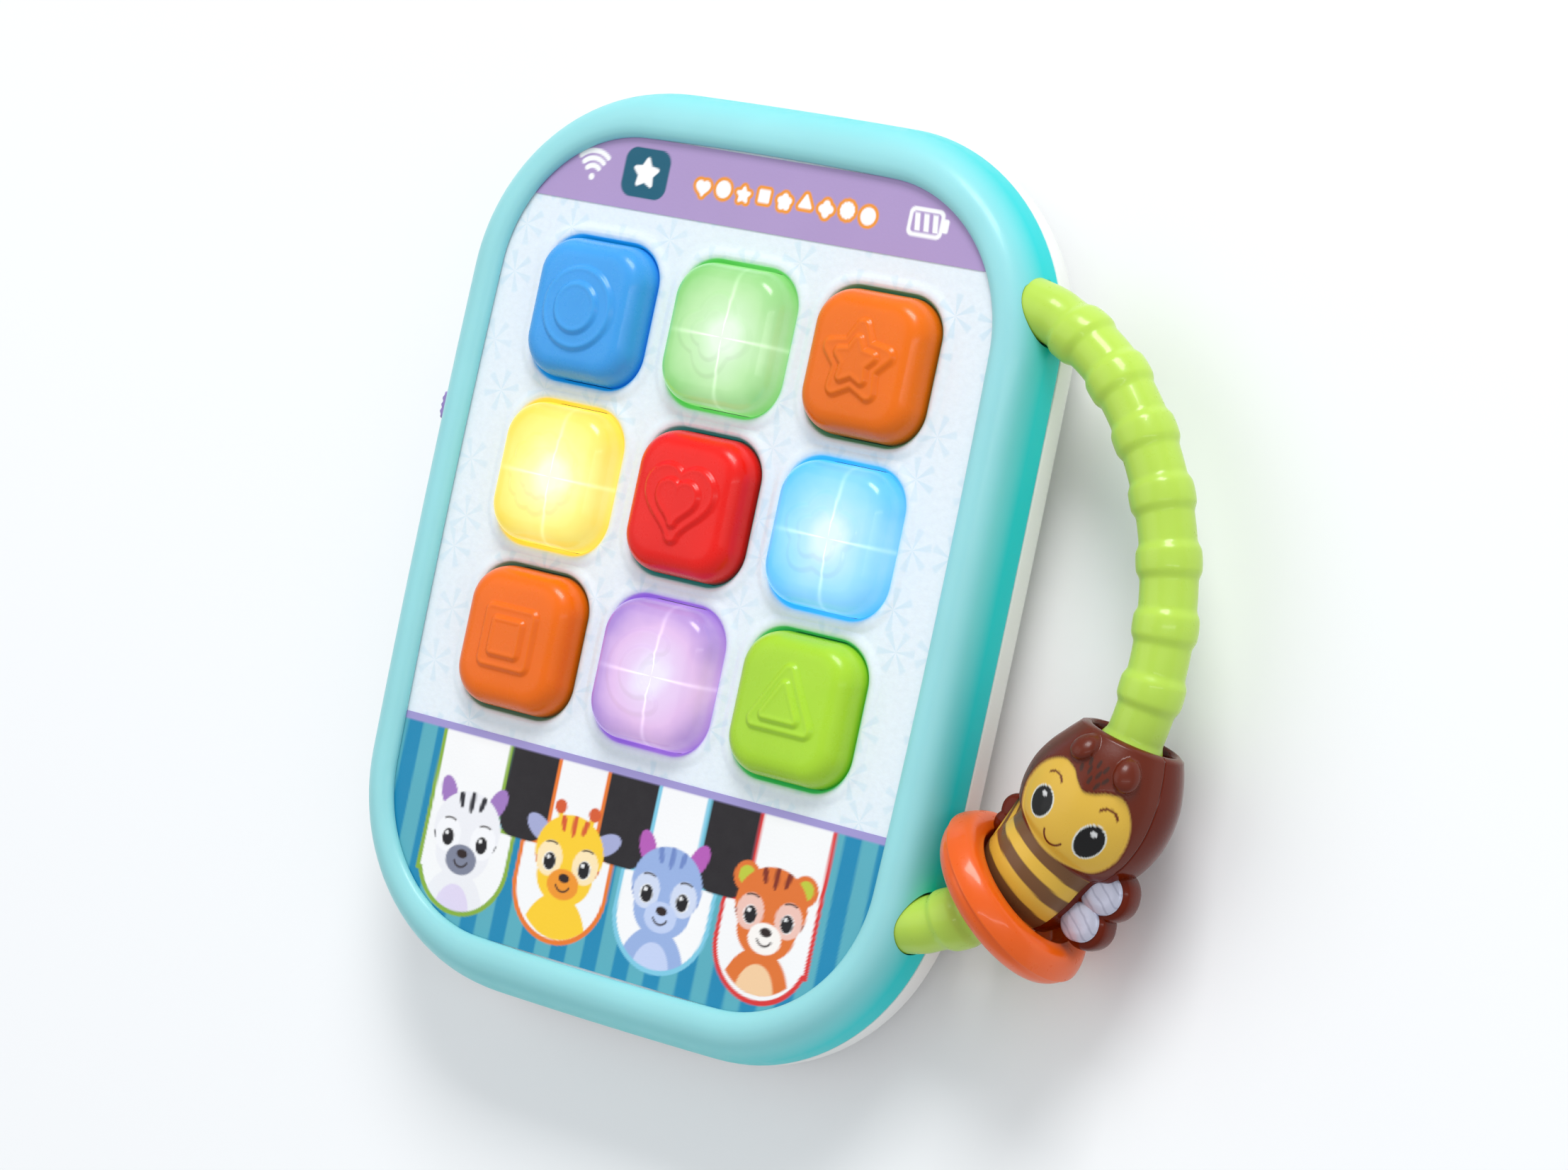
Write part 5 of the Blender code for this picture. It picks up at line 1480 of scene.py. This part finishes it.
@dataclass
class Fittings:
    """Slider knob, battery door, screws and foot pads."""

    case: Case

    def knob(self) -> None:
        """Make the slider's knob: a rounded block with three grip ribs, on its own stem."""
        low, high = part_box("volume_knob")
        middle = (low + high) / 2
        half_y, half_z = (high.y - low.y) / 2, (high.z - low.z) / 2
        rows = smooth_path(((low.x, 0.62), (low.x + 0.12 * MM, 0.8), (low.x + 0.5 * MM, 0.95),
                            (low.x + 1.2 * MM, 1.0), (low.x + 1.75 * MM, 1.0)), 5)
        ring = rounded_ring(half_y * rows[:, 1], half_z * rows[:, 1], 1.3 * MM * rows[:, 1], 0.0, 8, 16)
        rib = 0.16 * MM * (1 + np.cos(ring[..., 0] / (0.75 * MM) * np.pi))
        x = rows[:, 0][:, None] - np.where(rows[:, 1][:, None] < 0.93, rib, 0.0)
        body = np.stack([x, ring[..., 0] + middle.y, ring[..., 1] + middle.z], axis=-1)
        stem_x = np.array([low.x + 1.75 * MM, high.x])
        stem = rounded_ring([1.6 * MM] * 2, [0.9 * MM] * 2, [0.3 * MM] * 2, 0.0, 8, 16)
        stem = np.stack([np.repeat(stem_x[:, None], stem.shape[1], axis=1), stem[..., 0] + middle.y,
                         stem[..., 1] + middle.z], axis=-1)
        piece = surface("slider_knob", np.concatenate([body, stem]))
        sharpen(piece)
        lilac = MouldedPlastic("lilac_moulded", tone(150, 130, 190), roughness=0.32, variation=0.04)
        dress(piece, lilac.make(), "volume", ["volume_knob"])

    def door(self, cream: bpy.types.Material) -> None:
        """Make the battery door: a rounded plate with finger ribs, and a sunk hole for its screw."""
        low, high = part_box("battery_door")
        middle, half = (low + high) / 2, (high - low) / 2
        rows = np.array([(0.05, high.z), (1.0, high.z), (1.0, low.z + 0.4 * MM), (0.985, low.z + 0.1 * MM),
                         (0.96, low.z), (0.94, low.z), (0.05, low.z)])
        ring = rounded_ring(half.x * rows[:, 0], half.y * rows[:, 0], 3 * MM * rows[:, 0], 0.0, 8, 6)
        piece = surface("door_plate", lift(ring + (middle.x, middle.y), rows[:, 1]))
        screw_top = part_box("door_screw")[1].z
        carve(piece, upright_rod("door_hole", middle_of("door_screw"),
                                 [-1 * MM, low.z, low.z + 0.25 * MM, screw_top + 1 * MM],
                                 np.array([2.9, 2.9, 2.6, 2.6]) * MM))
        groove = rounded_ring([0.35 * MM] * 2, [6.5 * MM] * 2, [0.34 * MM] * 2, 0.0, 5, 3)
        tool = surface("groove_tool", lift(groove + (middle.x - half.x * 0.55, middle.y),
                                           np.array([low.z - 1 * MM, low.z + 0.45 * MM])))
        carve(piece, repeat(tool, [(step * 1.6 * MM, 0.0, 0.0) for step in range(5)]))
        sharpen(piece)
        dress(piece, cream, "door", ["battery_door"])

    def screw(self, node: str, body: str, steel: bpy.types.Material) -> None:
        """Make a pan-head screw with a cross recess, its head down."""
        low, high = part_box(node)
        middle, radius = (low + high) / 2, (high.x - low.x) / 2
        head = 1.6 * MM if node != "door_screw" else 0.6 * MM
        heights = [low.z, low.z + 0.05 * MM, low.z + head * 0.45, low.z + head, low.z + head,
                   high.z - 1.0 * MM, high.z]
        radii = np.array([0.6, 0.8, 1.0, 1.0, 0.45, 0.45, 0.15]) * radius
        piece = upright_rod(f"{node}_turned", middle.xy, heights, radii, 36)
        for turn in (0, 1):
            long, short = radius * 0.5, radius * 0.11
            half = (long, short) if turn else (short, long)
            cross = rounded_ring([half[0]] * 2, [half[1]] * 2, [short * 0.5] * 2, 0.0, 4, 2)
            carve(piece, surface("cross_tool", lift(cross + middle.xy, [low.z - 1 * MM, low.z + head * 0.55])))
        sharpen(piece)
        dress(piece, steel, body, [node])

    def pad(self, number: int, rubber: bpy.types.Material) -> None:
        """Make one foot pad with a softly rounded edge."""
        low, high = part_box(f"foot_pad_{number}")
        middle, radius = (low + high) / 2, (high.x - low.x) / 2
        piece = upright_rod(f"pad_{number}", middle.xy,
                            [low.z, low.z, low.z + 0.12 * MM, low.z + 0.4 * MM, high.z],
                            np.array([0.5, 0.9, 0.97, 1.0, 1.0]) * radius, 48)
        dress(piece, rubber, "tablet", [f"foot_pad_{number}"])

    def build(self) -> None:
        """Make every fitting."""
        cream = MouldedPlastic("door_plastic", tone(236, 236, 232), roughness=0.42, variation=0.02).make()
        rubber = MouldedPlastic("pad_rubber", tone(196, 198, 200), roughness=0.75, grain=0.05).make()
        steel = metal("screw_steel", (0.6, 0.6, 0.62))
        self.knob()
        self.door(cream)
        for number in range(1, 7):
            self.screw(f"case_screw_{number}", "tablet", steel)
        self.screw("door_screw", "screw", steel)
        for number in range(1, 6):
            self.pad(number, rubber)


def metal(name: str, colour: Colour, roughness: float = 0.32) -> bpy.types.Material:
    """Return plated or brushed metal, streaked slightly and spotted with dull marks."""
    sketch = NodeSketch(name)
    shader = sketch.shader
    dull = tuple(0.8 * part for part in colour)
    sketch.join(sketch.mix(sketch.noise(260.0, 4.0), dull, colour), shader.inputs["Base Color"])
    sketch.join(sketch.remap(sketch.noise(700.0, 4.0), roughness * 0.7, roughness * 1.4, 0.3, 0.7),
                shader.inputs["Roughness"])
    shader.inputs["Metallic"].default_value = 1.0
    sketch.bump(sketch.noise(900.0), 0.00003, 0.5)
    return sketch.material


def dress_insides() -> None:
    """Give the solids that stay inside the case their finishes."""
    def paint(material: bpy.types.Material, *names: str) -> None:
        """Put a material on named solids."""
        for name in names:
            piece = bpy.data.objects[name]
            piece.data.materials.clear()
            piece.data.materials.append(material)

    steel = metal("speaker_steel", (0.58, 0.58, 0.6), 0.38)
    paint(steel, "speaker_frame", "speaker_magnet")
    paint(steel, *(f"contact_{side}_{row}" for side in ("left", "right") for row in "ab"))
    for finish, *names in (
            (MouldedPlastic("film_clear", tone(215, 190, 130), variation=0.04), "touch_film"),
            (MouldedPlastic("board_resin", (0.02, 0.2, 0.07), 0.35, grain=0.01, variation=0.15), "main_board"),
            (MouldedPlastic("keypad_silicone", (0.32, 0.33, 0.35), 0.6, grain=0.04, variation=0.06),
             "keypad_sheet"),
            (MouldedPlastic("baffle_plastic", (0.85, 0.85, 0.85), 0.5, variation=0.03), "light_baffle"),
            (MouldedPlastic("lamp_resin", (0.88, 0.88, 0.78), 0.12, grain=0.0, variation=0.03),
             "lamp_2", "lamp_4", "lamp_6", "lamp_8"),
            (MouldedPlastic("cone_pulp", (0.05, 0.05, 0.05), 0.8, grain=0.08, variation=0.2), "speaker_cone"),
            (MouldedPlastic("cell_film", (0.05, 0.05, 0.06), 0.25, variation=0.1), "battery_a", "battery_b"),
            (MouldedPlastic("switch_resin", (0.04, 0.04, 0.05), 0.45, variation=0.1), "volume_switch")):
        paint(finish.make(), *names)


# ---------------------------------------------------------------- the stage


@dataclass
class Studio:
    """Pale floor, soft lights and the camera."""

    camera_place: tuple[float, float, float] = (527.4 * MM, 25.0 * MM, 791.5 * MM)
    camera_target: tuple[float, float, float] = (26.9 * MM, 1.0 * MM, 27.0 * MM)
    roll: float = -12.05
    lens: float = 97.56
    floor_reach: float = 6.0

    def camera(self) -> None:
        """Aim a long lens from the tablet's right, turned a little about its own axis."""
        data = bpy.data.cameras.new("camera")
        data.lens = self.lens
        data.sensor_width = 36.0
        data.clip_start = 0.01
        camera = placed("camera", data)
        place, target = Vector(self.camera_place), Vector(self.camera_target)
        forward = (target - place).normalized()
        right = forward.cross(Vector((0, 1, 0))).normalized()
        up = right.cross(forward)
        turn = np.radians(self.roll)
        side = right * np.cos(turn) - up * np.sin(turn)
        top = up * np.cos(turn) + right * np.sin(turn)
        camera.matrix_world = Matrix((
            (side.x, top.x, -forward.x, place.x), (side.y, top.y, -forward.y, place.y),
            (side.z, top.z, -forward.z, place.z), (0, 0, 0, 1)))
        bpy.context.scene.camera = camera

    def light(self, name: str, place: tuple[float, float, float], size: tuple[float, float], power: float,
              colour: Colour = (1.0, 1.0, 1.0)) -> None:
        """Hang a soft rectangular light that faces the tablet."""
        data = bpy.data.lights.new(name, 'AREA')
        data.shape = 'RECTANGLE'
        data.size, data.size_y = size
        data.energy = power
        data.color = colour
        lamp = placed(name, data)
        lamp.location = place
        lamp.rotation_euler = (-Vector(place)).to_track_quat('-Z', 'Y').to_euler()

    def build(self) -> None:
        """Lay the floor, hang the lights and set up the camera."""
        self.camera()
        self.light("key", (0.35, 2.1, 1.45), (1.2, 0.8), 41.0)
        self.light("top", (-1.35, 0.3, 2.0), (2.0, 2.0), 9.0)
        self.light("strip", (1.55, 0.2, 1.8), (0.16, 2.0), 5.0)
        world = bpy.data.worlds.new("studio")
        world.use_nodes = True
        world.node_tree.nodes["Background"].inputs["Color"].default_value = (0.93, 0.965, 1.0, 1.0)
        world.node_tree.nodes["Background"].inputs["Strength"].default_value = 0.58
        bpy.context.scene.world = world
        bpy.context.scene.view_settings.view_transform = 'Standard'
        x, y = np.meshgrid(*[(-self.floor_reach, self.floor_reach)] * 2)
        points = np.stack([x, y, np.full_like(x, CAD_BOUNDS[0].z)], axis=-1).reshape(-1, 3)
        mesh = bpy.data.meshes.new("floor")
        mesh.from_pydata(points.tolist(), [], [(0, 1, 3, 2)])
        floor = placed("floor", mesh)
        sketch = NodeSketch("floor_white")
        sketch.join(sketch.mix(sketch.noise(3.0), (0.93, 0.94, 0.95), (0.95, 0.955, 0.96)),
                    sketch.shader.inputs["Base Color"])
        sketch.shader.inputs["Roughness"].default_value = 0.9
        mesh.materials.append(sketch.material)


def caps() -> list[ButtonCap]:
    """Return the nine buttons, row by row from the top left."""
    return [ButtonCap(1, Emblem.CIRCLE, tone(64, 160, 232)),
            ButtonCap(2, Emblem.CLOVER, tone(126, 196, 108), tone(198, 230, 182)),
            ButtonCap(3, Emblem.STAR, tone(238, 112, 0)),
            ButtonCap(4, Emblem.SUN, tone(236, 210, 74), tone(252, 242, 150)),
            ButtonCap(5, Emblem.HEART, tone(238, 22, 12)),
            ButtonCap(6, Emblem.FLOWER, tone(84, 186, 242), tone(172, 222, 250)),
            ButtonCap(7, Emblem.SQUARE, tone(238, 108, 0)),
            ButtonCap(8, Emblem.MOON, tone(150, 118, 196), tone(240, 204, 230)),
            ButtonCap(9, Emblem.TRIANGLE, tone(170, 216, 50))]


def main() -> None:
    """Build the toy's sub-assemblies in order; each dressed piece logs its face count."""
    logging.basicConfig(level=logging.INFO, format="%(name)s %(message)s")
    arc = HandleArc()
    case = Case()
    case.build(arc)
    for cap in caps():
        cap.build()
    PrintedSheet(case, 74.8 * MM, 91.0 * MM).build("header_print", "header_label", header_picture)
    PrintedSheet(case, -91.0 * MM, -46.0 * MM).build("piano_print", "piano_label", piano_picture)
    Handle(arc).build()
    SlideRing(arc).build()
    Bee(arc).build()
    Fittings(case).build()
    dress_insides()
    Studio().build()


if __name__ == "__main__":
    main()
